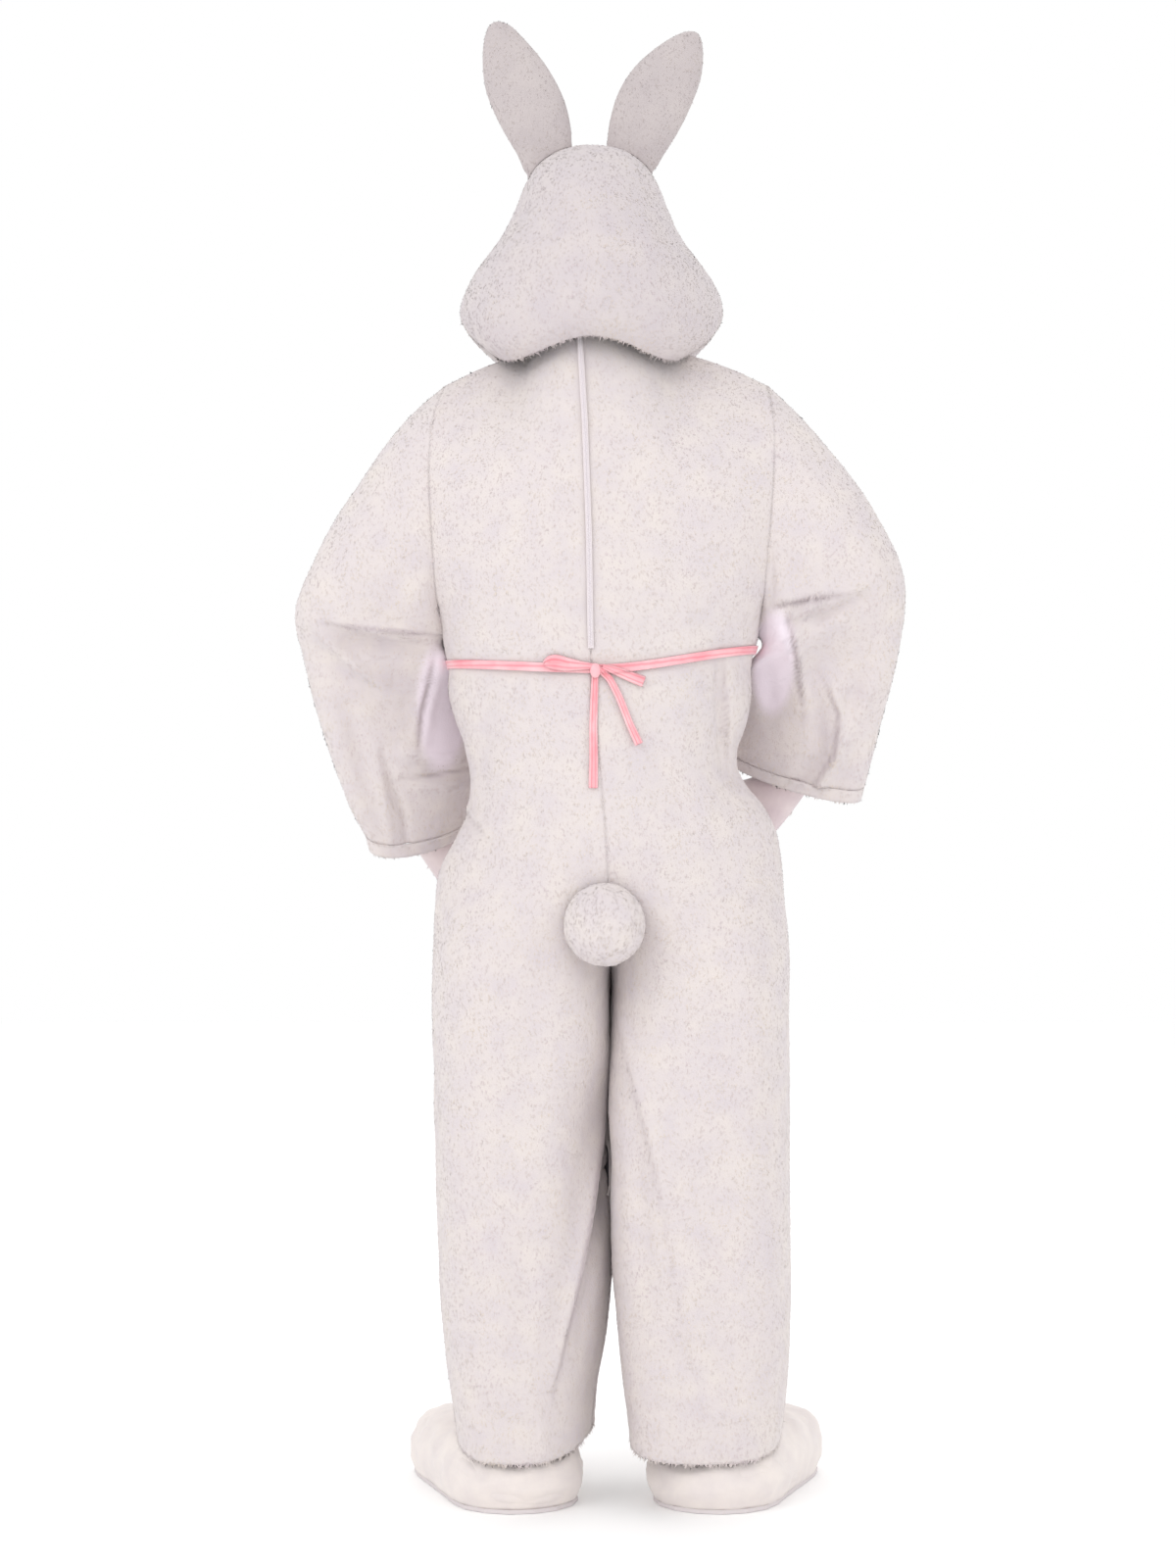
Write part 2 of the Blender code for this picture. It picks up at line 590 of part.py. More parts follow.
def leg_point(side, face, share, height):
    """A point of a leg's section: share 0 at the inseam, 1 at the side seam."""
    row = read_table(LEGS[side], height)
    middle = (row.inner + row.outer) / 2
    half = (row.inner - row.outer) / 2
    angle = math.pi * share
    x = middle + half * power(math.cos(angle), LEG_SIDE_POWER)
    y = getattr(row, face) * abs(math.sin(angle)) ** LEG_DEPTH_POWER
    y = y if face == "front" else -y
    lean = LEG_LEAN * smooth((LEG_LEAN_TOP - height) / 0.10)
    fade = smooth((HEM_FADE_TOP - height) / (HEM_FADE_TOP - LEG_ROWS[0]))
    inward = (1.0 + math.cos(angle)) / 2
    return Vector((x + lean * y * inward, y, height + HEM_SLOPE * y * fade))


def body_point(side, face, share, height):
    blend = smooth((HIP_BLEND_TOP - height) / (HIP_BLEND_TOP - CROTCH_HEIGHT))
    if blend <= 0.0:
        return torso_point(side, face, share, height)
    place = torso_point(side, face, share, height).lerp(leg_point(side, face, share, height), blend)
    steps = [i / 40 for i in range(41)]
    fullest = max((1 - blend) * math.cos(math.pi / 2 * u)
                  + blend * math.sin(math.pi * u) ** LEG_DEPTH_POWER for u in steps)
    place.y /= fullest
    return place


def yoke_end(side, face, column):
    """Where a strip of a panel ends, on the neckline or the shoulder seam."""
    neck = Vector(NECK_SIDE[side])
    if column <= NECK_SHARE:
        centre = Vector(NECK_CENTRE[face])
        turn = math.radians(90) * column / NECK_SHARE
        x = mix(centre.x, neck.x, math.sin(turn))
        y = mix(neck.y, centre.y, math.cos(turn))
        z = mix(centre.z, neck.z, math.sin(turn) ** 2)
        return Vector((x, y, z))
    share = (column - NECK_SHARE) / (COLUMNS - NECK_SHARE)
    place = mix_points(neck, SHOULDER[side], share)
    place.z += SHOULDER_CROWN * math.sin(math.pi * share)
    return place


def yoke_point(side, face, column, step):
    """A point between the chest and the shoulder seam or neckline."""
    chest = ARMHOLE_ROWS[-1]
    if column == COLUMNS:
        return torso_point(side, face, 1.0, mix(chest, SHOULDER[side][2], step))
    start = torso_point(side, face, column / COLUMNS, chest)
    end = yoke_end(side, face, column)
    rise = Vector((0.0, 0.0, YOKE_RISE * (end.z - start.z) / 0.16))
    turn = Vector((0.0, YOKE_TURN[face], 0.012))
    s = step
    return (start * (2 * s**3 - 3 * s**2 + 1) + rise * (s**3 - 2 * s**2 + s)
            + end * (-2 * s**3 + 3 * s**2) + turn * (s**3 - s**2))


def row_points(cloth, side, face, level, place):
    """The point numbers of one section, shared with the neighbouring panels at its ends."""
    numbers = []
    for column in range(COLUMNS + 1):
        if column == 0 and level[0] == "leg":
            name = ("inseam", side, level)
        elif column == 0 and level[0] == "crotch":
            name = "crotch"
        elif column == 0:
            name = ("centre", face, level)
        elif column == COLUMNS and level[0] in ("armhole", "yoke"):
            name = ("armhole", side, face, level)
        elif column == COLUMNS:
            name = ("side", side, level)
        else:
            name = (side, face, level, column)
        if level == ("yoke", len(YOKE_STEPS) - 1):
            if column == COLUMNS:
                name = ("shoulder", side)
            elif column >= NECK_SHARE:
                name = ("shoulder seam", side, column)
        numbers.append(cloth.point(name, place(column)))
    return numbers


def lay_body(cloth):
    """The four panels of the body and legs, from the hems to the neckline."""
    levels = [(("leg", i), h) for i, h in enumerate(LEG_ROWS)]
    levels.append((("crotch", 0), CROTCH_HEIGHT))
    higher = (*SEAT_ROWS, *BODY_ROWS, UNDERARM_HEIGHT)
    levels += [(("body", i), h) for i, h in enumerate(higher)]
    levels += [(("armhole", i), h) for i, h in enumerate(ARMHOLE_ROWS)]
    for side in SIDES:
        for face in FACES:
            rows = []
            for level, height in levels:
                rows.append(row_points(
                    cloth, side, face, level,
                    lambda column: body_point(side, face, column / COLUMNS, height)))
            for i, step in enumerate(YOKE_STEPS):
                rows.append(row_points(
                    cloth, side, face, ("yoke", i),
                    lambda column: yoke_point(side, face, column, step)))
            cloth.strips(f"{face}_{side}", rows, flip=(side == "left") == (face == "back"))


def armhole_loop(cloth, side):
    """The armhole's point numbers, from under the arm up the back and down the front."""
    underarm = cloth.names[("side", side, ("body", len(SEAT_ROWS) + len(BODY_ROWS)))]
    levels = [("armhole", i) for i in range(len(ARMHOLE_ROWS))]
    levels += [("yoke", i) for i in range(len(YOKE_STEPS) - 1)]
    back = [cloth.names[("armhole", side, "back", level)] for level in levels]
    front = [cloth.names[("armhole", side, "front", level)] for level in levels]
    return [underarm, *back, cloth.names[("shoulder", side)], *reversed(front), underarm]


def sleeve_ring(cloth, side, level, row, count):
    """One section of a sleeve, from under the arm round the back, over it and round the front."""
    over = Vector(row.over)
    under = Vector(row.under)
    middle = (over + under) / 2
    half = (over - under) / 2
    outwards = -1.0 if side == "left" else 1.0
    skew = outwards * SLEEVE_SKEW * smooth(level / 3)
    straight = Vector((0.0, -1.0, 0.0))
    aside = Vector((skew, -1.0, 0.0)).normalized()
    tilt = math.radians(CUFF_TILT[side]) * smooth((level - CUFF_TILT["from"]) / CUFF_TILT["over"])
    drop = Vector((0.0, 0.0, -1.0)) + half * (half.z / half.length_squared)
    numbers = []
    for i in range(count):
        angle = 2.0 * math.pi * i / count
        behind_arm = math.sin(angle) > 0
        off = math.sin(angle) * (row.back if behind_arm else row.front)
        way = aside if behind_arm else straight
        way = way * math.cos(tilt) + (drop - way * drop.dot(way)).normalized() * math.sin(tilt)
        place = middle - half * math.cos(angle) + way * off
        numbers.append(cloth.point(("sleeve", side, level, i), place))
    return [*numbers, numbers[0]]


def lay_sleeves(cloth):
    for side in SIDES:
        rows = [armhole_loop(cloth, side)]
        count = len(rows[0]) - 1
        for level, row in enumerate((*SLEEVES[side], CUFF_BAND[side])):
            rows.append(sleeve_ring(cloth, side, level, row, count))
        half = count // 2
        flip = side == "right"
        for face, part in (("back", slice(0, half + 1)), ("front", slice(half, count + 1))):
            halves = [row[part] for row in rows[:-1]]
            cloth.strips(f"sleeve_{side}_{face}", halves, flip)
        cloth.strips(f"cuff_{side}", rows[-2:], flip)


def build_jumpsuit():
    cloth = Cloth()
    lay_body(cloth)
    lay_sleeves(cloth)
    cloth.press(FOLDS)
    pieces = {}
    for name in sorted({panel for panel, _ in cloth.faces}):
        points, faces = cloth.wall(name, PLUSH)
        pieces[name] = add_faces(name, points, faces, "plush")
    return cloth, pieces


def rim_lift(turn):
    """How far the head's rim lies above its lowest corners, by the turn from the back."""
    stations = ((0, HEAD_RIM["back"]), (50, HEAD_RIM["corner"]), (92, HEAD_RIM["side"]),
                (140, HEAD_RIM["front"]), (180, HEAD_RIM["front"]))
    turn = abs(turn)
    for (a, low), (b, high) in zip(stations, stations[1:]):
        if turn <= b:
            return mix(low, high, smooth((turn - a) / (b - a)))
    return stations[-1][1]


def head_point(row, turn):
    angle = math.radians(turn)
    depth = row.back if math.cos(angle) > 0 else row.front
    x = row.half_width * math.sin(angle)
    y = -depth * math.cos(angle)
    fade = smooth(1.0 - (row.height - HEAD[0].height) / HEAD_RIM_FADE)
    height = row.height + rim_lift(turn) * fade
    if math.cos(angle) < 0:
        off = (x / MUZZLE["half_width"]) ** 2
        off += ((row.height - MUZZLE["height"]) / MUZZLE["half_height"]) ** 2
        y += MUZZLE["reach"] * math.exp(-off)
    return Vector((HEAD_X + x, HEAD_Y + y, height))


def build_head(body):
    cloth = Cloth()
    turns = [-180.0 + 360.0 * i / HEAD_COLUMNS for i in range(HEAD_COLUMNS)]
    rows = []
    for level, row in enumerate(HEAD):
        rows.append([cloth.point((level, i), head_point(row, t)) for i, t in enumerate(turns)])
    crown = cloth.point("crown", (HEAD_X, HEAD_Y, HEAD_CROWN))
    rows.append([crown] * HEAD_COLUMNS)
    quarter = HEAD_COLUMNS // 4
    back = [row[quarter:3 * quarter + 1] for row in rows]
    front = [row[3 * quarter:] + row[:quarter + 1] for row in rows]
    cloth.strips("head_back", back)
    cloth.strips("head_face", front)
    pieces = []
    for name in ("head_back", "head_face"):
        points, faces = cloth.wall(name, HEAD_WALL)
        pieces.append(add_faces(name, points, faces, "head_plush"))
    seat(pieces, body, (0, 0, -1))
    return pieces


def ear_ring(row):
    """An ear's section: points round its edge and faces, and its middle."""
    left = Vector((row.left_x, EAR_Y, row.left_h))
    right = Vector((row.right_x, EAR_Y, row.right_h))
    middle = (left + right) / 2
    half = (right - left) / 2
    ring = []
    for i in range(EAR_POINTS):
        angle = 2.0 * math.pi * i / EAR_POINTS
        ring.append(middle + half * math.cos(angle) + Vector((0, row.thick / 2 * math.sin(angle), 0)))
    return ring, middle


def lowered(place, tree, lift):
    """A place moved straight down onto a surface."""
    spot = touch(tree, place + Vector((0, 0, 0.08)), (0, 0, -1))
    return Vector((place.x, place.y, spot.z + lift))


def build_ear(side, head):
    """A stuffed ear whose foot follows the head, and its satin front."""
    tree, _ = trees(head)
    down = Vector((0, 0, -NECK_HEIGHT))
    cloth = Cloth()
    rows = []
    for level, row in enumerate(EARS[side]):
        ring, middle = ear_ring(row)
        if level == 0:
            foot = cloth.point("foot", lowered(middle + down, tree, EAR_FOOT_LIFT) - down)
            ring = [lowered(p + down, tree, EAR_FOOT_LIFT) - down for p in ring]
            for share in EAR_FOOT_SHARES:
                inner = [lowered(middle.lerp(p, share) + down, tree, EAR_FOOT_LIFT) - down for p in ring]
                rows.append([cloth.point(("foot", share, i), p) for i, p in enumerate(inner)])
        rows.append([cloth.point((level, i), p) for i, p in enumerate(ring)])
    first = len(EAR_FOOT_SHARES)
    tip_x, tip_h = EAR_TIP[side]
    tip = cloth.point("tip", (tip_x, EAR_Y, tip_h))
    rows = [[foot] * EAR_POINTS, *rows, [tip] * EAR_POINTS]
    flip = side == "right"
    cloth.strips("ear", [[*row, row[0]] for row in rows], flip)
    plush = add_faces(f"ear_{side}", cloth.points, [f for _, f in cloth.faces], "head_plush")
    clear_of([plush], head, (0, 0, 1))
    normals = cloth.normals()
    satin = Cloth()
    columns = range(EAR_FRONT["first"], EAR_POINTS // 2 - EAR_FRONT["first"] + 1)
    patch = []
    for level in range(EAR_FRONT["from_row"], len(EARS[side]) + 1):
        numbers = []
        for i in columns:
            old = rows[first + level][i]
            lift = normals[old] * (EAR_FRONT["lift"] + EAR_FRONT["thick"])
            numbers.append(satin.point((level, i), cloth.points[old] + lift))
        patch.append(numbers)
    satin.strips("front", patch, flip)
    points, faces = satin.wall("front", EAR_FRONT["thick"])
    front = add_faces(f"ear_front_{side}", points, faces, "satin")
    front.location = plush.location


def dome_on(name, carriers, spec, way, finish):
    """A low oval dome that follows the surface it is sewn to, found along a direction."""
    tree, _ = trees(carriers)
    way = Vector(way)
    top = []
    base = []
    for ring in range(DOME_RINGS + 1):
        share = ring / DOME_RINGS
        for i in range(DOME_POINTS if ring else 1):
            angle = 2.0 * math.pi * i / DOME_POINTS
            x = spec["x"] + spec["half_width"] * share * math.cos(angle)
            z = spec["height"] - NECK_HEIGHT + spec["half_height"] * share * math.sin(angle)
            spot = touch(tree, Vector((x, 0, z)) - way, way)
            place = Vector((x, spot.y, z + NECK_HEIGHT))
            rise = DOME_EDGE + (spec["dome"] - DOME_EDGE) * math.sqrt(1.0 - share * share)
            base.append(place - way * DOME_LIFT)
            top.append(place - way * (DOME_LIFT + rise))
    count = len(top)

    def at(ring, i):
        return 0 if ring == 0 else 1 + (ring - 1) * DOME_POINTS + i % DOME_POINTS

    faces = []
    for ring in range(DOME_RINGS):
        for i in range(DOME_POINTS):
            face = [at(ring, i), at(ring + 1, i), at(ring + 1, i + 1), at(ring, i + 1)]
            face = face[:3] if ring == 0 else face
            faces.append(face[::-1])
            faces.append([count + c for c in face])
    for i in range(DOME_POINTS):
        a, b = at(DOME_RINGS, i), at(DOME_RINGS, i + 1)
        faces.append([a, b, count + b, count + a])
    if way.y > 0:
        faces = [face[::-1] for face in faces]
    dome = add_faces(name, top + base, faces, finish)
    clear_of([dome], carriers, -way)
    return dome


def build_face(head):
    """Two plain eyes and a nose on the face."""
    for side, sign in (("left", -1), ("right", 1)):
        spec = {**EYE, "x": HEAD_X + sign * EYE["x"]}
        dome_on(f"eye_{side}", head, spec, (0, -1, 0), "eye")
    dome_on("nose", head, {**NOSE, "x": HEAD_X + NOSE["x"]}, (0, -1, 0), "satin")


def build_tail(suit):
    """A stuffed ball, flattened where it is sewn to the seat."""
    tree, _ = trees(suit)
    bm = bmesh.new()
    bmesh.ops.create_uvsphere(bm, u_segments=20, v_segments=12, radius=TAIL["radius"])
    middle = behind(tree, TAIL["x"], TAIL["height"], TAIL["radius"] - TAIL["sunk"])
    base = TAIL["radius"] - TAIL["sunk"]
    for vert in bm.verts:
        near = behind(tree, middle.x + vert.co.x, middle.z + vert.co.z, SEAT_GAP).y - middle.y
        vert.co.y = min(vert.co.y, near, base)
    bmesh.ops.triangulate(bm, faces=bm.faces)
    tail = add_mesh("tail", bm, "plush")
    tail.location = middle
    clear_of([tail], suit, (0, -1, 0))


def ribbon_height(turn):
    """The waist ribbon's height at a turn from the back, the wearer's right at 90 degrees."""
    names = ("back", "right", "front", "left", "back")
    quarter = int(turn // 90) % 4
    share = smooth(turn % 90 / 90)
    return mix(RIBBON_HEIGHT[names[quarter]], RIBBON_HEIGHT[names[quarter + 1]], share)


def build_ribbon(suit):
    """The waist band: sections of four points, laid on the jumpsuit all round."""
    tree, _ = trees(suit)
    points = []
    for step in range(RIBBON["steps"]):
        turn = 360.0 * step / RIBBON["steps"]
        way = Vector((-math.sin(math.radians(turn)), math.cos(math.radians(turn)), 0.0))
        for edge in (-0.5, 0.0, 0.5):
            z = ribbon_height(turn) + edge * RIBBON["width"] - NECK_HEIGHT
            spot = touch(tree, Vector((0, 0, z)) - way * RIBBON_CAST, way)
            place = spot + Vector((0, 0, NECK_HEIGHT))
            points.append(place - way * (RIBBON["lift"] + RIBBON["thick"]))
            points.append(place - way * RIBBON["lift"])
    faces = []
    count = len(points)
    for step in range(RIBBON["steps"]):
        a = 6 * step
        b = (a + 6) % count
        for i, j in ((0, 1), (1, 3), (3, 5), (5, 4), (4, 2), (2, 0)):
            faces.append([a + i, a + j, b + j, b + i])
    return add_faces("ribbon_waist", points, faces, "satin")


def strap(name, line, width, thick, finish):
    """A flat strap along a line of places, its width across the line as seen from behind."""
    out = Vector((0, -1, 0))
    points = []
    for i, place in enumerate(line):
        before = line[max(i - 1, 0)]
        after = line[min(i + 1, len(line) - 1)]
        along = (after - before).normalized()
        across = along.cross(out)
        across = across.normalized() if across.length > 0.2 else Vector((0, 0, 1))
        face = across.cross(along).normalized()
        for edge, level in ((-1, -1), (1, -1), (1, 1), (-1, 1)):
            points.append(place + across * edge * width / 2 + face * level * thick / 2)
    faces = [[0, 1, 2, 3], [len(points) - 1 - i for i in range(4)]]
    for i in range(len(line) - 1):
        for a in range(4):
            b = (a + 1) % 4
            faces.append([4 * i + b, 4 * i + a, 4 * i + 4 + a, 4 * i + 4 + b])
    return add_faces(name, points, faces, finish)


def behind(tree, x, height, lift):
    """A place that far out from the back of what a tree holds."""
    spot = touch(tree, Vector((x, -1.0, height - NECK_HEIGHT)), (0, 1, 0))
    return Vector((x, spot.y - lift, height))


def curve_through(stations, count):
    """Places evenly along a smooth curve through some stations."""
    ends = [2 * stations[0] - stations[1], *stations, 2 * stations[-1] - stations[-2]]
    places = []
    for i in range(count):
        along = i / (count - 1) * (len(stations) - 1)
        k = min(int(along), len(stations) - 2)
        t = along - k
        a, b, c, d = ends[k:k + 4]
        places.append(0.5 * (2 * b + (c - a) * t + (2 * a - 5 * b + 4 * c - d) * t * t
                             + (3 * b - a - 3 * c + d) * t ** 3))
    return places


def loop_of_ribbon(loop, tree, inner, outer):
    """A loop laid flat: out along the back of the bow, round its end and back on top."""
    along = (outer - inner).normalized()
    out = Vector((0, -1, 0))
    across = along.cross(out)
    length = (outer - inner).length
    points = []
    for i in range(BOW_STEPS + 1):
        turn = math.radians(mix(-LOOP_TURN, LOOP_TURN, i / BOW_STEPS))
        place = inner.lerp(outer, (1 + math.cos(turn)) / 2)
        place = behind(tree, place.x, place.z, BOW_LIFT) + out * loop.puff * (1 + math.sin(turn))
        tangent = along * -math.sin(turn) * length / 2 + out * loop.puff * math.cos(turn)
        face = across.cross(tangent).normalized()
        for edge, level in ((-1, -1), (1, -1), (1, 1), (-1, 1)):
            points.append(place + across * edge * loop.width / 2 + face * level * RIBBON["thick"] / 2)
    last = len(points) - 4
    faces = [[0, 1, 2, 3], [last + 3, last + 2, last + 1, last]]
    for i in range(BOW_STEPS):
        for a in range(4):
            b = (a + 1) % 4
            faces.append([4 * i + b, 4 * i + a, 4 * i + 4 + a, 4 * i + 4 + b])
    sides_of = faces if signed_volume(points, faces) > 0 else [face[::-1] for face in faces]
    return add_faces(loop.name, points, sides_of, "satin")


def signed_volume(points, faces):
    total = 0.0
    for face in faces:
        a = points[face[0]]
        for b, c in zip(face[1:], face[2:]):
            total += a.dot(points[b].cross(points[c])) / 6
    return total


def build_bow(suit, ribbon):
    """The knot, two flat loops and two tails, on the waist ribbon at the back."""
    tree, _ = trees(suit)
    laid = [ribbon]
    for trail in BOW_TAILS:
        stations = [Vector((x, 0, h)) for x, h in trail.stations]
        line = curve_through(stations, BOW_STEPS)
        line = [behind(tree, p.x, p.z, trail.lift) for p in line]
        tail = strap(trail.name, line, trail.width, RIBBON["thick"], "satin")
        clear_of([tail], suit, (0, -1, 0))
        laid.append(tail)
    for loop in BOW_LOOPS:
        inner = Vector((loop.inner[0], 0, loop.inner[1]))
        outer = Vector((loop.outer[0], 0, loop.outer[1]))
        band = loop_of_ribbon(loop, tree, inner, outer)
        clear_of([band], [*suit, *laid], (0, -1, 0))
        laid.append(band)
    bm = bmesh.new()
    bmesh.ops.create_uvsphere(bm, u_segments=12, v_segments=8, radius=0.5)
    bmesh.ops.scale(bm, vec=KNOT["size"], verts=bm.verts)
    knot = add_mesh("bow_knot", bm, "satin")
    tree, _ = trees([ribbon])
    knot.location = behind(tree, KNOT["x"], KNOT["height"], KNOT["lift"])
    clear_of([knot], laid, (0, -1, 0))


def build_zip(cloth, suit):
    """The zip's tapes and coil on the centre back seam, its slider and the pull tab."""
    levels = [("body", i) for i in range(ZIP["first_row"], len(SEAT_ROWS) + len(BODY_ROWS) + 1)]
    levels += [("armhole", i) for i in range(len(ARMHOLE_ROWS))]
    levels += [("yoke", i) for i in range(len(YOKE_STEPS))]
    normals = cloth.normals()
    strip = Cloth()
    rows = []
    for level in levels:
        middle = cloth.names[("centre", "back", level)]
        centre = cloth.points[middle]
        lift = normals[middle] * (ZIP["lift"] + ZIP["thick"])
        numbers = []
        for side, sign in (("left", -1), ("centre", 0), ("right", 1)):
            place = centre
            if sign:
                beside = cloth.points[cloth.names[(side, "back", level, 1)]]
                place = centre + (beside - centre).normalized() * ZIP["half_width"]
            numbers.append(strip.point((level, sign), place + lift))
        rows.append(numbers)
    strip.strips("zip", rows)
    points, faces = strip.wall("zip", ZIP["thick"])
    tape = add_faces("zip_tape", points, faces, "nylon")
    top = strip.points[rows[-1][1]]
    bm = bmesh.new()
    bmesh.ops.create_cube(bm, size=1.0)
    bmesh.ops.scale(bm, vec=(SLIDER["width"], SLIDER["depth"], SLIDER["height"]), verts=bm.verts)
    bmesh.ops.bevel(bm, geom=bm.edges, offset=0.0010, segments=2, profile=0.5, affect="EDGES")
    slider = add_mesh("zip_slider", bm, "metal")
    slider.location = (top.x, top.y - 0.05, top.z - SLIDER["below_top"])
    seat([slider], [tape, *suit], (0, 1, 0), back_off=0.0, reach=0.1)
    hinge = bpy.data.objects.new("zip_pull_hinge", None)
    bpy.data.collections["rabbit_costume"].objects.link(hinge)
    hinge.parent = bpy.data.objects["floor"]
    hinge.location = slider.location + Vector((
        0, -SLIDER["depth"] / 2 - SEAM_GAP - PULL["depth"] / 2, PULL["hinge_up"]))
    outline = bpy.data.curves.new("zip_pull", "CURVE")
    outline.dimensions = "2D"
    outline.fill_mode = "BOTH"
    outline.extrude = PULL["depth"] / 2
    spline = outline.splines.new("POLY")
    corners = []
    for centre, radius, start in ((-PULL["pin"] / 2, PULL["width"] / 2 - 0.001, 0),
                                  (-PULL["length"], PULL["width"] / 2, 180)):
        for i in range(7):
            turn = math.radians(start + 30 * i)
            squash = 0.25 if start == 0 else 1.0
            corners.append((radius * math.cos(turn), centre + squash * radius * math.sin(turn)))
    spline.points.add(len(corners) - 1)
    for point, (x, y) in zip(spline.points, corners):
        point.co = (x, y, 0, 1)
    spline.use_cyclic_u = True
    tab = bpy.data.objects.new("zip_pull", outline)
    outline.materials.append(new_material("metal"))
    bpy.data.collections["rabbit_costume"].objects.link(tab)
    tab.parent = hinge
    tab.rotation_euler = (math.radians(90), 0, 0)


def closed_glove(stations, rows, count):
    """A tube along a bent line with a closed tip, as a surface with a palm and a back panel."""
    root, bend, tip = (Vector(station) for station in stations)
    cloth = Cloth()
    numbers = []
    for level, row in enumerate(rows):
        t = row.share
        place = root * (1 - t) ** 2 + bend * 2 * t * (1 - t) + tip * t * t
        along = ((bend - root) * (1 - t) + (tip - bend) * t).normalized()
        out = Vector((0, -1, 0)) + along * along.y
        out.normalize()
        up = out.cross(along)
        up = -up if up.z < 0 else up
        ring = []
        for i in range(count):
            angle = 2.0 * math.pi * i / count
            spot = place + up * row.half_width * math.cos(angle)
            spot += out * row.half_thick * math.sin(angle)
            ring.append(cloth.point((level, i), spot))
        numbers.append([*ring, ring[0]])
    numbers.append([cloth.point("tip", tip)] * (count + 1))
    half = count // 2
    flip = (tip - root).x < 0
    cloth.strips("palm", [row[:half + 1] for row in numbers], flip)
    cloth.strips("back", [row[half:] for row in numbers], flip)
    return cloth


def build_mittens(pieces):
    """Mittens: a palm that faces the body and a back, both inside the cuff, and a thumb."""
    for side in SIDES:
        hand = HANDS[side]
        cloth = closed_glove((hand.wrist, hand.knuckle, hand.tip), HAND_ROWS, HAND_POINTS)
        halves = []
        for panel, finish in (("palm", "palm"), ("back", "plush")):
            points, faces = cloth.wall(panel, GLOVE_WALL)
            halves.append(add_faces(f"mitten_{side}_{panel}", points, faces, finish))
        seat(halves, pieces, (0, -1, 0), back_off=0.0, reach=0.03)
        root, tip = Vector(hand.thumb_root), Vector(hand.thumb_tip)
        thumb = closed_glove((root, (root + tip) / 2, tip), THUMB_ROWS, THUMB_POINTS)
        thumb.faces = [("thumb", corners) for _, corners in thumb.faces]
        points, faces = thumb.wall("thumb", GLOVE_WALL)
        digit = add_faces(f"mitten_{side}_thumb", points, faces, "plush")
        seat([digit], halves, (0, -0.3, -1), back_off=0.03, reach=0.12)


def foot_outline(foot):
    """Places round a shoe cover as seen from above, from the toes round the heel."""
    heel = Vector((*foot.heel, 0))
    toe = Vector((*foot.toe, 0))
    axis = (toe - heel).normalized()
    aside = Vector((-axis.y, axis.x, 0))
    places = []
    for i in range(FOOT_ARC + 1):
        turn = math.radians(-90 + 180 * i / FOOT_ARC)
        places.append(toe + TOE_RADIUS * (axis * math.cos(turn) + aside * math.sin(turn)))
    for i in range(1, FOOT_SIDE):
        share = i / FOOT_SIDE
        places.append(places[FOOT_ARC].lerp(heel + aside * HEEL_RADIUS, share))
    for i in range(FOOT_ARC + 1):
        turn = math.radians(90 + 180 * i / FOOT_ARC)
        places.append(heel + HEEL_RADIUS * (axis * math.cos(turn) + aside * math.sin(turn)))
    for i in range(1, FOOT_SIDE):
        share = i / FOOT_SIDE
        places.append((heel - aside * HEEL_RADIUS).lerp(places[0], share))
    return places, heel, axis, (toe - heel).length


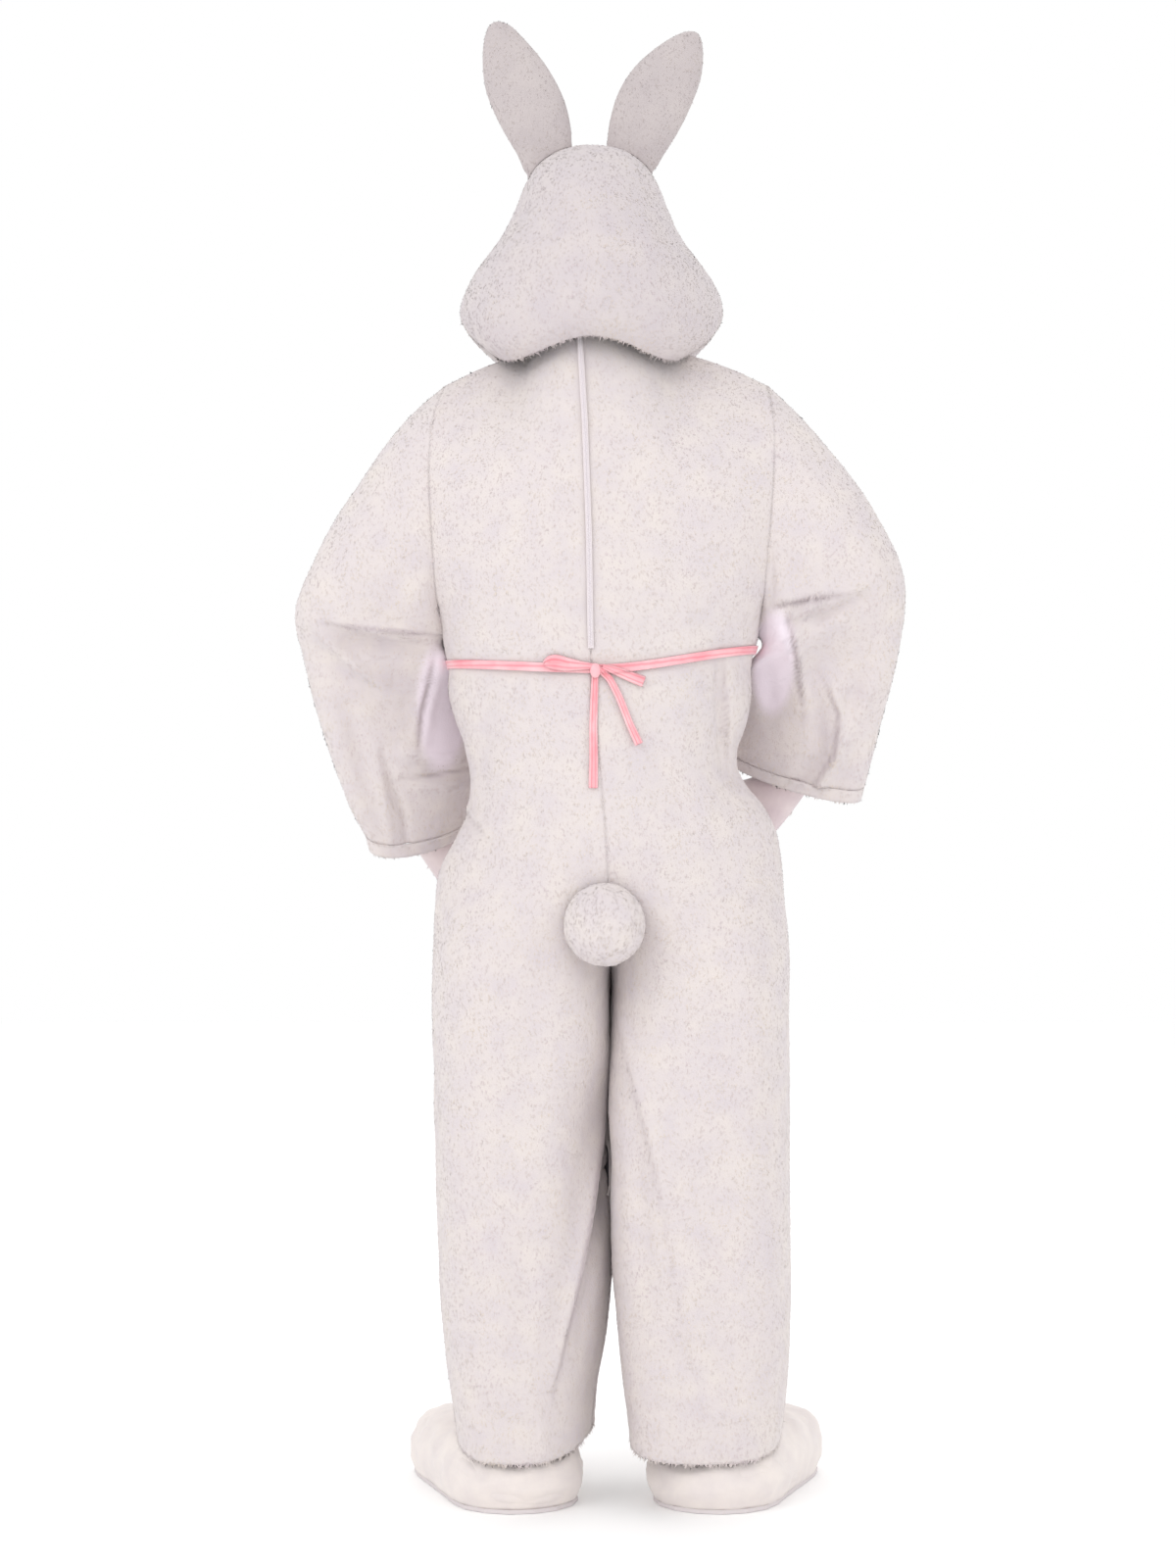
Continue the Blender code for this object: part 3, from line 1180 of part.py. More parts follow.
def build_cover(side, suit):
    """A shoe cover: a puffed upper with an ankle opening that reaches up to the hem, and a sole."""
    outline, heel, axis, length = foot_outline(FEET[side])
    ankle = heel + axis * length * ANKLE["share"]
    base = SOLE["thick"] + SEAM_GAP
    cloth = Cloth()
    rows = []
    for level, turn in enumerate(COVER_TURNS):
        numbers = []
        for i, place in enumerate(outline):
            inwards = (ankle - place).normalized()
            toeward = smooth((place - heel).dot(axis) / length)
            crown = mix(COVER_HEIGHT["heel"], COVER_HEIGHT["toe"], toeward)
            angle = math.radians(turn)
            z = COVER_BULGE + (crown - COVER_BULGE) * math.sin(angle)
            if turn < 0:
                z = mix(COVER_BULGE, base, math.sin(angle) / math.sin(math.radians(COVER_TURNS[0])))
            spot = place + inwards * COVER_ROLL * (1 - math.cos(angle))
            numbers.append(cloth.point((level, i), (spot.x, spot.y, z)))
        rows.append(numbers)
    last = len(COVER_TURNS)
    for step, share in enumerate((0.5, 1.0)):
        numbers = []
        for i, place in enumerate(outline):
            outwards = (place - ankle).normalized()
            ring = ankle + outwards * ANKLE["radius"]
            rim = cloth.points[rows[last - 1][i]]
            spot = rim.lerp(Vector((ring.x, ring.y, ANKLE["foot"])), share)
            numbers.append(cloth.point((last + step, i), spot))
        rows.append(numbers)
    numbers = []
    for i, place in enumerate(outline):
        ring = ankle + (place - ankle).normalized() * ANKLE["radius"]
        numbers.append(cloth.point(("top", i), (ring.x, ring.y, ANKLE["top"])))
    rows.append(numbers)
    cloth.strips("cover", [[*row, row[0]] for row in rows])
    points, faces = cloth.wall("cover", COVER_WALL)
    points = lift_to_hem(points, faces, base, suit)
    add_faces(f"shoe_cover_{side}", points, faces, "velour")
    bm = bmesh.new()
    edge = []
    for place in outline:
        inwards = (ankle - place).normalized()
        tuck = COVER_ROLL * (1 - math.cos(math.radians(COVER_TURNS[0]))) - SOLE["beyond"]
        spot = place + inwards * tuck
        edge.append(bm.verts.new((spot.x, spot.y, 0.0)))
    bottom = bm.faces.new(edge)
    made = bmesh.ops.extrude_face_region(bm, geom=[bottom])
    raised = [v for v in made["geom"] if isinstance(v, bmesh.types.BMVert)]
    bmesh.ops.translate(bm, vec=(0, 0, SOLE["thick"]), verts=raised)
    bmesh.ops.recalc_face_normals(bm, faces=bm.faces)
    add_mesh(f"shoe_sole_{side}", bm, "sole")


def lift_to_hem(points, faces, base, suit):
    """Stretches a shoe cover upwards until it lies a hair under the trouser hem."""
    tree, _ = trees(suit)
    down = Vector((0, 0, -NECK_HEIGHT))
    stretch = COVER_STRETCH["most"]
    while stretch > COVER_STRETCH["least"]:
        made = [Vector((p.x, p.y, base + (p.z - base) * stretch)) for p in points]
        if not BVHTree.FromPolygons([p + down for p in made], faces).overlap(tree):
            break
        stretch -= COVER_STRETCH["step"]
    stretch -= COVER_STRETCH["step"]
    return [Vector((p.x, p.y, base + (p.z - base) * stretch)) for p in points]


def main():
    for old in list(bpy.data.objects):
        bpy.data.objects.remove(old, do_unlink=True)
    collection = bpy.data.collections.new("rabbit_costume")
    bpy.context.scene.collection.children.link(collection)
    floor = bpy.data.objects.new("floor", None)
    floor.location.z = -NECK_HEIGHT
    collection.objects.link(floor)
    cloth, panels = build_jumpsuit()
    suit = [panels[name] for name in sorted(panels)]
    body = [panels[f"{face}_{side}"] for face in FACES for side in SIDES]
    head = build_head(body)
    for side in SIDES:
        build_ear(side, head)
        build_cover(side, body)
    build_face(head)
    build_tail(body)
    ribbon = build_ribbon(body)
    build_bow(body, ribbon)
    build_zip(cloth, body)
    build_mittens(suit)


main()
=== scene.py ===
"""Looks for a worn rabbit costume, seen from behind: plush panels with their pile, satin, velour and zip.

Metres, +Z up, +Y the way the wearer faces, +X the wearer's right. Every piece is laid over the solid
that it stands for. Heights in the tables are measured from the floor.
"""

import math
from collections import namedtuple

import bmesh
import bpy
import numpy as np
from mathutils import Matrix, Vector, noise
from mathutils.bvhtree import BVHTree


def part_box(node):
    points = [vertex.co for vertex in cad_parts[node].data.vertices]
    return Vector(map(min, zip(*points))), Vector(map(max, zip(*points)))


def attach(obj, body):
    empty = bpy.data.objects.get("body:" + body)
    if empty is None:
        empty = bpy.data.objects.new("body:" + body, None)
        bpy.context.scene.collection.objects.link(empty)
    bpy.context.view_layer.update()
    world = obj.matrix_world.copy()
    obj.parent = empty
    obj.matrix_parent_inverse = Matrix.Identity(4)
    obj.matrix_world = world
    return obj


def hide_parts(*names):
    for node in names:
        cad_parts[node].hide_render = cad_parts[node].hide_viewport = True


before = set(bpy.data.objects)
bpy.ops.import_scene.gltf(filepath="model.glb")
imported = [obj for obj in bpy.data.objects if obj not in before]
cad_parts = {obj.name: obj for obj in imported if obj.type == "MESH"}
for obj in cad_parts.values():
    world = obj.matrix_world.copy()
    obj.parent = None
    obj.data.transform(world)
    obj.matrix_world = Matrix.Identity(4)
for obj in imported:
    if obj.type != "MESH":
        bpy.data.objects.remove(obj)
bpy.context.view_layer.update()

bl_info = {
    "name": "Rabbit costume looks",
    "version": (1, 0, 0),
    "blender": (4, 5, 0),
    "location": "View3D > Sidebar > Rabbit costume",
    "description": "Dresses the packed solids of a plush rabbit costume",
    "category": "Object",
}

FLOOR = -1.44
BODY = "costume"
COIL_PITCH = 0.0019
COIL_WIDTH = 0.0042
# A face belongs to the rim if its shortest edge is below this many wall thicknesses
RIM_SHARE = 1.6
# Soft unevenness of the cloth: height in metres and turns to the metre, large and small
WAVE, WAVE_TURNS = 0.0018, 14.0
RIPPLE, RIPPLE_TURNS = 0.0006, 50.0
# The sewn edge: how far in the cloth dips, and how deep
EDGE_REACH, EDGE_DIP = 0.010, 0.0007
# How far apart two edges may lie to be drawn together as a seam
SUIT_SEAM, HEAD_SEAM = 0.007, 0.008
# Half width of the step under a lip
LIP_STEP = 0.0022
# Painted shade under a lip: the painted dark line's middle and half width, then those of the soft painted
# shade round it
PAINTED_DARK_LINE, PAINTED_DARK_WIDTH = 0.0016, 0.0026
PAINTED_SHADE_LINE, PAINTED_SHADE_WIDTH, PAINTED_SHADE_SHARE = 0.010, 0.012, 0.12
# A lip this deep gets its painted shade in full, and the painted shade ends this far off
FULL_LIP, PAINTED_SHADE_END = 0.0070, 0.012
# The nap: how far single tufts and whole patches turn aside, and the patches' turns to the metre
NAP_SPREAD, NAP_WANDER, NAP_TURNS = 0.25, 0.9, 30.0
# How deep a tuft's foot stands in the cloth
TUFT_FOOT = 0.0006
# The fringe along open edges: tufts to the metre, longest tuft, width and how far they splay
FRINGE_COUNT, FRINGE_LENGTH, FRINGE_WIDTH, FRINGE_SPLAY = 1600, 0.0075, 0.0016, 0.5
# Tufts stop this near to a trim, and reach full length this far off
TRIM_GAP, TRIM_REACH = 0.0006, 0.009
# Small pieces: levels of smoothing, width of their tufts, and how far they are drawn to their carrier
PIECE_LEVELS, PIECE_PILE_WIDTH, CARRIER_REACH = 2, 0.0018, 0.012
# Sockets of a colour mix node: its share, its two colours and its result
MIX_SHARE, MIX_FROM, MIX_TO, MIXED = 0, 6, 7, 2
MULTIPLY = {"data_type": "RGBA", "blend_type": "MULTIPLY", MIX_SHARE: 1.0}
ROUND_MIDDLES = {"head_back": (-0.012, 0.02, 0.06), "head_face": (-0.012, 0.02, 0.06)}
CRISP_ANGLE = math.radians(65)
SEED = 7

Crease = namedtuple("Crease", "line width depth")


def creases(table):
    """Reads each row: width and depth in tenths of a millimetre, then x and height in millimetres."""
    return {node: [Crease([(row[i] / 1000, row[i + 1] / 1000) for i in range(2, len(row), 2)],
                          row[0] / 10000, row[1] / 10000) for row in rows]
            for node, rows in table.items()}


# Lips: cloth that hangs over at a line seen from behind, raised on its left hand and sunk on its right
LIPS = creases({
    "sleeve_left_back": (
        (160, 80, -332, 1109, -288, 1103, -255, 1101, -212, 1098),
        (120, 55, -236, 950, -231, 1002, -212, 1070),
        (120, 45, -250, 915, -205, 922, -162, 930),
    ),
    "sleeve_right_back": (
        (150, 65, 214, 1130, 262, 1140, 308, 1146),
        (120, 55, 236, 1124, 252, 1063, 262, 1002),
        (120, 55, 286, 1040, 306, 996, 302, 945, 266, 888),
    ),
    "back_left": (
        (140, 80, -56, 160, -32, 262, -12, 360, 4, 470, 12, 552),
        (120, 30, -208, 885, -170, 872, -140, 840),
    ),
    "back_right": (
        (100, 40, 156, 1066, 160, 992, 162, 930),
        (200, 20, 20, 620, 40, 540, 70, 420, 92, 300, 112, 190),
    ),
})

# Folds: soft ridges, with a depth above 0, and troughs along a line seen from behind
FOLDS = creases({
    "sleeve_left_back": (
        (90, 110, -332, 1109, -288, 1101, -259, 1096, -210, 1093),
        (90, -110, -317, 1084, -265, 1079, -210, 1075),
        (90, 85, -203, 1068, -222, 1002, -229, 948),
        (80, 76, -370, 1118, -334, 1079, -295, 1044, -276, 1035),
        (90, -59, -354, 1075, -320, 1044, -288, 1023),
        (50, -59, -278, 951, -266, 898, -253, 868, -248, 827),
        (80, 43, -290, 944, -278, 889, -269, 831),
        (60, 59, -254, 951, -229, 942, -195, 946),
        (70, -68, -240, 926, -198, 929, -161, 936),
        (90, 68, -240, 905, -198, 903, -159, 911),
        (140, 51, -350, 1029, -326, 931, -305, 846),
        (120, -43, -320, 1002, -298, 919),
        (220, 43, -265, 1309, -293, 1224, -317, 1151),
        (160, -37, -234, 1200, -259, 1139),
    ),
    "sleeve_right_back": (
        (90, 93, 209, 1125, 247, 1124, 290, 1137, 331, 1158),
        (80, -85, 229, 1106, 284, 1119, 334, 1141),
        (100, 93, 226, 1112, 248, 1063, 256, 1002),
        (120, -50, 212, 1068, 217, 1029, 221, 992),
        (100, 76, 280, 1036, 304, 996, 298, 940, 263, 885),
        (90, -51, 277, 1000, 280, 944, 243, 900),
        (100, 59, 343, 1029, 317, 968, 290, 907),
        (90, -51, 329, 1041, 312, 995),
        (140, 34, 357, 1126, 347, 1041, 331, 931),
        (140, 48, 326, 1224, 357, 1151),
        (220, 37, 247, 1321, 290, 1248, 312, 1185),
        (140, -34, 229, 1200, 243, 1156),
    ),
    "back_left": (
        (110, 30, -188, 1078, -100, 1070, -17, 1068),
        (50, -22, -187, 1053, -100, 1046, -10, 1047),
        (120, 18, -187, 1029, -100, 1024, -27, 1026),
        (160, -22, -64, 1041, -78, 980, -113, 846),
        (120, -26, -137, 1039, -147, 956, -152, 870),
        (100, 18, -113, 1029, -122, 919),
        (200, 20, -154, 809, -164, 712, -161, 590),
        (240, -18, -113, 1395, -122, 1248, -131, 1102),
        (80, 20, -64, 1151, -56, 1073),
        (70, -16, -88, 1114, -93, 1068),
        (110, 50, 12, 578, 2, 428, -15, 343, -32, 257, -53, 178),
        (90, -65, 19, 505, 7, 383, -8, 298, -22, 212),
        (180, -25, -64, 712, -82, 615, -113, 444),
        (200, 25, -137, 444, -127, 298, -137, 176),
        (120, -25, -88, 346, -98, 188),
        (110, 22, -173, 182, -113, 127, -45, 142),
        (80, -20, -152, 151, -137, 100),
        (80, 22, -78, 127, -69, 81),
    ),
    "back_right": (
        (110, 30, -10, 1068, 95, 1075, 190, 1095),
        (50, -22, -10, 1047, 95, 1054, 190, 1073),
        (120, 18, 34, 1029, 107, 1034, 180, 1048),
        (60, -45, 151, 1063, 153, 992, 158, 919),
        (35, -45, 147, 1044, 147, 1012),
        (90, 30, 168, 1053, 176, 980),
        (100, 30, 170, 944, 195, 907, 219, 846),
        (120, -22, 150, 907, 182, 858, 207, 785),
        (160, -22, 46, 1041, 68, 956, 107, 846),
        (140, 18, 95, 1029, 114, 919),
        (240, -18, 95, 1370, 100, 1236, 95, 1102),
        (80, -18, 63, 1139, 58, 1075),
        (90, 18, 107, 1151, 109, 1083),
        (120, 45, 18, 627, 35, 565, 68, 466, 78, 318, 113, 199),
        (110, -35, 34, 517, 48, 395, 58, 261),
        (180, 22, 180, 712, 192, 566, 185, 420),
        (180, -22, 131, 444, 153, 310, 143, 176),
        (110, 22, 95, 176, 150, 122, 217, 132),
        (80, -20, 126, 139, 134, 86),
    ),
    "front_left": (
        (120, 30, -190, 1062, -110, 1072, -20, 1074),
        (60, -20, -195, 1050, -100, 1058, -16, 1056),
        (150, -26, -150, 1046, -132, 970, -118, 880),
        (110, 22, -80, 1044, -86, 950),
        (220, -20, -175, 1330, -120, 1250, -80, 1160),
        (100, 20, -60, 1180, -55, 1080),
        (120, -30, -30, 800, -90, 770, -150, 790),
        (140, 26, -36, 760, -100, 720, -160, 730),
        (160, 28, -180, 470, -120, 440, -60, 455),
        (130, -28, -175, 430, -115, 405, -55, 425),
        (180, 22, -90, 690, -100, 560, -110, 500),
        (180, -22, -150, 360, -140, 240, -150, 140),
        (120, 26, -180, 150, -110, 110, -50, 130),
    ),
    "front_right": (
        (120, 30, 0, 1076, 90, 1084, 185, 1092),
        (60, -20, 0, 1058, 80, 1062, 190, 1076),
        (150, -26, 70, 1048, 78, 960, 64, 870),
        (120, 22, 130, 1052, 142, 960),
        (220, -20, 190, 1320, 130, 1240, 96, 1150),
        (100, 20, 50, 1190, 46, 1084),
        (130, -30, 30, 804, 100, 760, 180, 786),
        (140, 26, 34, 764, 110, 716, 190, 740),
        (160, 28, 70, 486, 130, 452, 210, 470),
        (130, -28, 66, 446, 136, 412, 206, 436),
        (180, 22, 110, 700, 120, 590, 136, 510),
        (180, -22, 150, 370, 160, 260, 146, 140),
        (120, 26, 60, 136, 130, 112, 210, 146),
    ),
    "sleeve_left_front": (
        (100, 45, -360, 1130, -310, 1104, -260, 1110),
        (90, -45, -350, 1100, -300, 1082, -256, 1090),
        (120, 35, -340, 1060, -290, 1040, -240, 1050),
        (140, -30, -320, 1000, -280, 960, -256, 900),
        (180, 24, -260, 1240, -290, 1180, -320, 1140),
    ),
    "sleeve_right_front": (
        (100, 42, 270, 1126, 320, 1108, 370, 1140),
        (90, -42, 266, 1100, 316, 1084, 366, 1112),
        (120, 35, 256, 1050, 300, 1036, 346, 1066),
        (140, -30, 270, 940, 300, 990, 330, 1010),
        (180, 24, 270, 1250, 300, 1200, 336, 1150),
    ),
    "head_back": (
        (300, 20, -150, 1560, -60, 1520, 30, 1524, 120, 1556),
        (180, -16, -100, 1640, -80, 1560),
        (180, 16, 70, 1650, 56, 1570),
    ),
})

# Bulges: cloth that swells sideways round a place (x, height), wider than tall if stretch is above 1
Bulge = namedtuple("Bulge", "x h width stretch move")
LEFT_UNDERARM = (Bulge(-0.210, 1.072, 0.034, 0.8, 0.026),)
RIGHT_UNDERARM = (Bulge(0.208, 1.052, 0.034, 0.8, -0.018),)
# Smooth inner sides of the sleeves, without pile: x, height and the half sizes of an oval
Zone = namedtuple("Zone", "x h wide tall")
SMOOTH = {"sleeve_left_back": Zone(-0.204, 1.002, 0.030, 0.078),
          "sleeve_right_back": Zone(0.222, 1.062, 0.026, 0.064)}
LEFT_INSEAM = (Bulge(0.006, 0.545, 0.030, 0.45, 0.0060), Bulge(0.004, 0.330, 0.030, 0.45, 0.0030))
RIGHT_INSEAM = (Bulge(0.016, 0.545, 0.030, 0.45, -0.0060), Bulge(0.020, 0.330, 0.030, 0.45, -0.0030))
BULGES = {"back_left": LEFT_INSEAM, "front_left": LEFT_INSEAM,
          "back_right": RIGHT_INSEAM, "front_right": RIGHT_INSEAM,
          "sleeve_left_back": LEFT_UNDERARM, "sleeve_left_front": LEFT_UNDERARM,
          "sleeve_right_back": RIGHT_UNDERARM, "sleeve_right_front": RIGHT_UNDERARM}

# Cut of each piece of cloth: width and length of its rectangle, and its own area
Cut = namedtuple("Cut", "width length area")


def linear(code):
    """A hex sRGB colour as linear values with alpha."""
    values = [int(code[i:i + 2], 16) / 255 for i in (1, 3, 5)]
    return (*((v / 12.92) if v <= 0.04045 else ((v + 0.055) / 1.055) ** 2.4 for v in values), 1.0)


def add_node(tree, kind, settings=None, links=None):
    """A node with its settings (sockets, properties, a ramp's stops) and its links from other sockets."""
    node = tree.nodes.new(kind)
    for name, value in (settings or {}).items():
        if name == "stops":
            elements = node.color_ramp.elements
            while len(elements) < len(value):
                elements.new(0.5)
            for element, (place, colour) in zip(elements, value):
                element.position = place
                element.color = colour
        elif isinstance(name, int) or name in node.inputs:
            node.inputs[name].default_value = value
        else:
            setattr(node, name, value)
    for name, socket in (links or {}).items():
        tree.links.new(socket, node.inputs[name])
    return node


def new_material(name, look):
    """A material with its shader's settings, and its tree, its shader and the place on the piece."""
    material = bpy.data.materials.new(name)
    material.use_nodes = True
    tree = material.node_tree
    shader = tree.nodes["Principled BSDF"]
    for key, value in look.items():
        shader.inputs[key].default_value = value
    return material, tree, shader, add_node(tree, "ShaderNodeTexCoord").outputs["Object"]


def per_metre(millimetres):
    """A noise's scale from the real size of its patches."""
    return 1000.0 / millimetres


def creased(tree, colour):
    """The colour darkened by painted shade where the crease mark says: a dark line under each lip and a
    soft shade round it.
    """
    crease = add_node(tree, "ShaderNodeAttribute", {"attribute_name": "crease"}).outputs["Fac"]
    # BAAEB1 is the painted shade's colour; the crease mark gives each point its share of it
    return add_node(tree, "ShaderNodeMix", {"data_type": "RGBA", MIX_TO: linear("#BAAEB1")},
                    {MIX_SHARE: crease, MIX_FROM: colour}).outputs[MIXED]


def plush_backing(name, low, high, lining):
    """Knitted polyester ground of plush: matt and soft, with the nap's cloudy patches of cream and
    lilac, and a smooth lilac inner side where it is marked, painted lighter than the plush: painted
    light in the recess between sleeve and torso."""
    material, tree, shader, place = new_material(name, {
        "Roughness": 0.95, "Sheen Weight": 0.25, "Sheen Roughness": 0.6, "Specular IOR Level": 0.15})
    smooth = add_node(tree, "ShaderNodeAttribute", {"attribute_name": "smooth_side"}).outputs["Fac"]
    clouds = add_node(tree, "ShaderNodeTexNoise", {"Scale": per_metre(38), "Detail": 4.0, "Roughness": 0.6},
                      {"Vector": place}).outputs["Fac"]
    # Tufts are about 2 mm apart and are drawn a little coarser, so that they show
    pile = add_node(tree, "ShaderNodeTexNoise", {"Scale": per_metre(2.4), "Detail": 3.0, "Roughness": 0.7},
                    {"Vector": place}).outputs["Fac"]
    colour = add_node(tree, "ShaderNodeValToRGB", {"stops": ((0.30, low), (0.70, high))},
                      {"Fac": clouds}).outputs["Color"]
    # Painted light: the smooth side's colour is lighter than the plush, to light the recess between sleeve
    # and torso
    tint = add_node(tree, "ShaderNodeMix", {"data_type": "RGBA", MIX_TO: lining},
                    {MIX_SHARE: smooth, MIX_FROM: colour}).outputs[MIXED]
    tree.links.new(creased(tree, tint), shader.inputs["Base Color"])
    bump = add_node(tree, "ShaderNodeBump", {"Strength": 0.35, "Distance": 0.0012}, {"Height": pile})
    tree.links.new(bump.outputs["Normal"], shader.inputs["Normal"])
    return material


def plush_tufts(name, root, body, tip):
    """Polyester pile: painted shade makes it a little darker between the roots, and painted light makes it
    creamy and bright at the tips.
    """
    material, tree, shader, place = new_material(name, {
        "Roughness": 0.85, "Sheen Weight": 0.3, "Sheen Roughness": 0.5, "Specular IOR Level": 0.2})
    height, shade = (add_node(tree, "ShaderNodeAttribute", {"attribute_name": mark}).outputs["Fac"]
                     for mark in ("along", "shade"))
    clouds = add_node(tree, "ShaderNodeTexNoise",
                      {"Scale": per_metre(45), "Detail": 3.0, "Roughness": 0.55},
                      {"Vector": place}).outputs["Fac"]
    colour = None
    for share, stops in (
            # Along each tuft: painted shade at the root, painted light towards the tip
            (height, ((0.0, root), (0.45, body), (1.0, tip))),
            (clouds, ((0.32, linear("#F8F4FA")), (0.52, linear("#FCFAFA")), (0.72, linear("#FFFCF4")))),
            (shade, ((0.0, linear("#FAF8F8")), (1.0, linear("#FFFFFF"))))):
        layer = add_node(tree, "ShaderNodeValToRGB", {"stops": stops}, {"Fac": share}).outputs["Color"]
        colour = layer if colour is None else add_node(
            tree, "ShaderNodeMix", MULTIPLY, {MIX_FROM: colour, MIX_TO: layer}).outputs[MIXED]
    tree.links.new(creased(tree, colour), shader.inputs["Base Color"])
    return material


def smooth_cloth(name, low, high, grain, rough, sheen, gloss=0.3):
    """Smooth cloth with a weave or clipped nap of a size in millimetres, and soft cloudy shading."""
    material, tree, shader, place = new_material(name, {
        "Roughness": rough, "Sheen Weight": sheen, "Specular IOR Level": gloss})
    clouds, weave = (add_node(tree, "ShaderNodeTexNoise", {"Scale": per_metre(size), "Detail": detail},
                              {"Vector": place}).outputs["Fac"]
                     for size, detail in ((33, 3.0), (grain, 2.0)))
    colour = add_node(tree, "ShaderNodeValToRGB", {"stops": ((0.3, low), (0.7, high))}, {"Fac": clouds})
    tree.links.new(colour.outputs["Color"], shader.inputs["Base Color"])
    bump = add_node(tree, "ShaderNodeBump", {"Strength": 0.35, "Distance": 0.0006}, {"Height": weave})
    tree.links.new(bump.outputs["Normal"], shader.inputs["Normal"])
    return material


def folded_satin(name, low, high, deep):
    """Satin ribbon folded lengthways: pale edges, and painted shade as a deeper pink in the folds between
    them.
    """
    material = smooth_cloth(name, low, high, 1.1, 0.34, 0.1, 0.6)
    tree = material.node_tree
    colour = tree.nodes["Principled BSDF"].inputs["Base Color"]
    across = add_node(tree, "ShaderNodeAttribute", {"attribute_name": "across"}).outputs["Fac"]
    white = linear("#FFFFFF")
    # Painted shade: two bands of deeper pink across the ribbon where its folds lie
    stops = ((0.0, white), (0.20, white), (0.30, deep), (0.42, white), (0.62, linear("#FFF4F5")),
             (0.74, deep), (0.86, white))
    folds = add_node(tree, "ShaderNodeValToRGB", {"stops": stops}, {"Fac": across}).outputs["Color"]
    both = add_node(tree, "ShaderNodeMix", MULTIPLY,
                    {MIX_FROM: colour.links[0].from_socket, MIX_TO: folds})
    tree.links.new(both.outputs[MIXED], colour)
    return material


def plain(name, colour, rough, metal=0.0):
    """A hard smooth finish with fine unevenness, about a millimetre across."""
    material, tree, shader, place = new_material(name, {
        "Base Color": colour, "Roughness": rough, "Metallic": metal})
    marks = add_node(tree, "ShaderNodeTexNoise", {"Scale": per_metre(1.1), "Detail": 2.0},
                     {"Vector": place}).outputs["Fac"]
    bump = add_node(tree, "ShaderNodeBump", {"Strength": 0.08, "Distance": 0.0002}, {"Height": marks})
    tree.links.new(bump.outputs["Normal"], shader.inputs["Normal"])
    return material


# Each finish: its maker, its colours, named as in the panel or as fixed codes, and its numbers
LOOKS = {
    # Polyester plush: a matt warm white whose nap shows faint cream and lilac patches; its smooth sleeve
    # side is painted lighter, as painted light in the recess under the sleeve
    "plush ground": (plush_backing, "plush_low", "plush_high", "lining"),
    "plush pile": (plush_tufts, "plush_low", "pile_body", "pile_tip"),
    # The head's plush, a shade greyer
    "head ground": (plush_backing, "head_low", "head_high", "head_low"),
    "head pile": (plush_tufts, "head_low", "head_high", "head_tip"),
    # The ears' plush, brushed and worn darker
    "ear ground": (plush_backing, "ear_low", "ear_high", "ear_low"),
    "ear pile": (plush_tufts, "ear_low", "ear_high", "ear_tip"),
    # Open-celled foam under the head's plush: dull, and painted dark as the shade inside the hollow head
    "foam inside": (smooth_cloth, "#4A4240", "#5A504C", 3.3, 0.95, 0.0),
    # The knitted back of the plush: flat and matt
    "plush reverse": (smooth_cloth, "#CFC6CA", "#DAD2D4", 2.0, 0.95, 0.1),
    # Woven polyester satin: pink, with a broad soft gloss
    "pink satin": (smooth_cloth, "satin_low", "satin_high", 1.1, 0.34, 0.1, 0.6),
    # The same satin as a narrow ribbon, with painted shade along its lengthways creases
    "ribbon satin": (folded_satin, "satin_low", "satin_high", "satin_fold"),
    # Fine mauve knit of the palms, slightly dusty
    "palm knit": (smooth_cloth, "palm_low", "palm_high", 1.4, 0.75, 0.2),
    # Clipped velour of the shoe covers: white and even
    "white velour": (smooth_cloth, "velour_low", "velour_high", 1.4, 0.85, 0.3),
    # Rubbed foam sheet under the foot
    "sole sheet": (plain, "#D5CDCE", 0.8),
    # Nickel-plated die-cast zinc: small bright glints
    "nickel": (plain, "#B9B6B2", 0.28, 1.0),
    # Woven nylon tape of the zip, a little darker than the plush
    "nylon": (plain, "#DCD3D5", 0.8),
    # Nylon monofilament coil: the zip's light glossy line
    "coil": (plain, "#E6DFE3", 0.4),
    # Moulded acrylic eye: black and glossy
    "black gloss": (plain, "#0B0A0B", 0.12),
}
FINISHES = {}


def finish(name):
    """Each finish, made once."""
    def colour(value):
        if value[0] == "#":
            return linear(value)
        return (*getattr(bpy.context.scene.costume_colours, value), 1.0)

    if name not in FINISHES:
        make, *values = LOOKS[name]
        FINISHES[name] = make(name, *[colour(v) if isinstance(v, str) else v for v in values])
    return FINISHES[name]


def placed(name, data):
    """A new object in the scene."""
    obj = bpy.data.objects.new(name, data)
    bpy.context.scene.collection.objects.link(obj)
    return obj


def mesh_from(bm, name):
    mesh = bpy.data.meshes.new(name)
    bm.to_mesh(mesh)
    bm.free()
    return mesh


def tree_of(*meshes):
    """The surfaces of finished meshes, to lay others on."""
    bm = bmesh.new()
    for mesh in meshes:
        bm.from_mesh(mesh)
    tree = BVHTree.FromBMesh(bm)
    bm.free()
    return tree


def apply_steps(obj):
    """Gives the object its mesh with the modifiers applied."""
    result = bpy.data.meshes.new_from_object(obj.evaluated_get(bpy.context.evaluated_depsgraph_get()))
    obj.modifiers.clear()
    obj.data = result


def mark_points(mesh, name, values):
    """Gives each point a value that the finishes read."""
    mesh.attributes.new(name, "FLOAT", "POINT").data.foreach_set("value", values)


def wear(obj, node=None):
    """The piece rides on the costume and for its node."""
    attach(obj, BODY)
    if node:
        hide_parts(node)


def unit(rows, least=0.0):
    """Each row as a direction."""
    return rows / (np.linalg.norm(rows, axis=1)[:, None] + least)


def fading(gap, width):
    return np.exp(-(gap / width) ** 2)


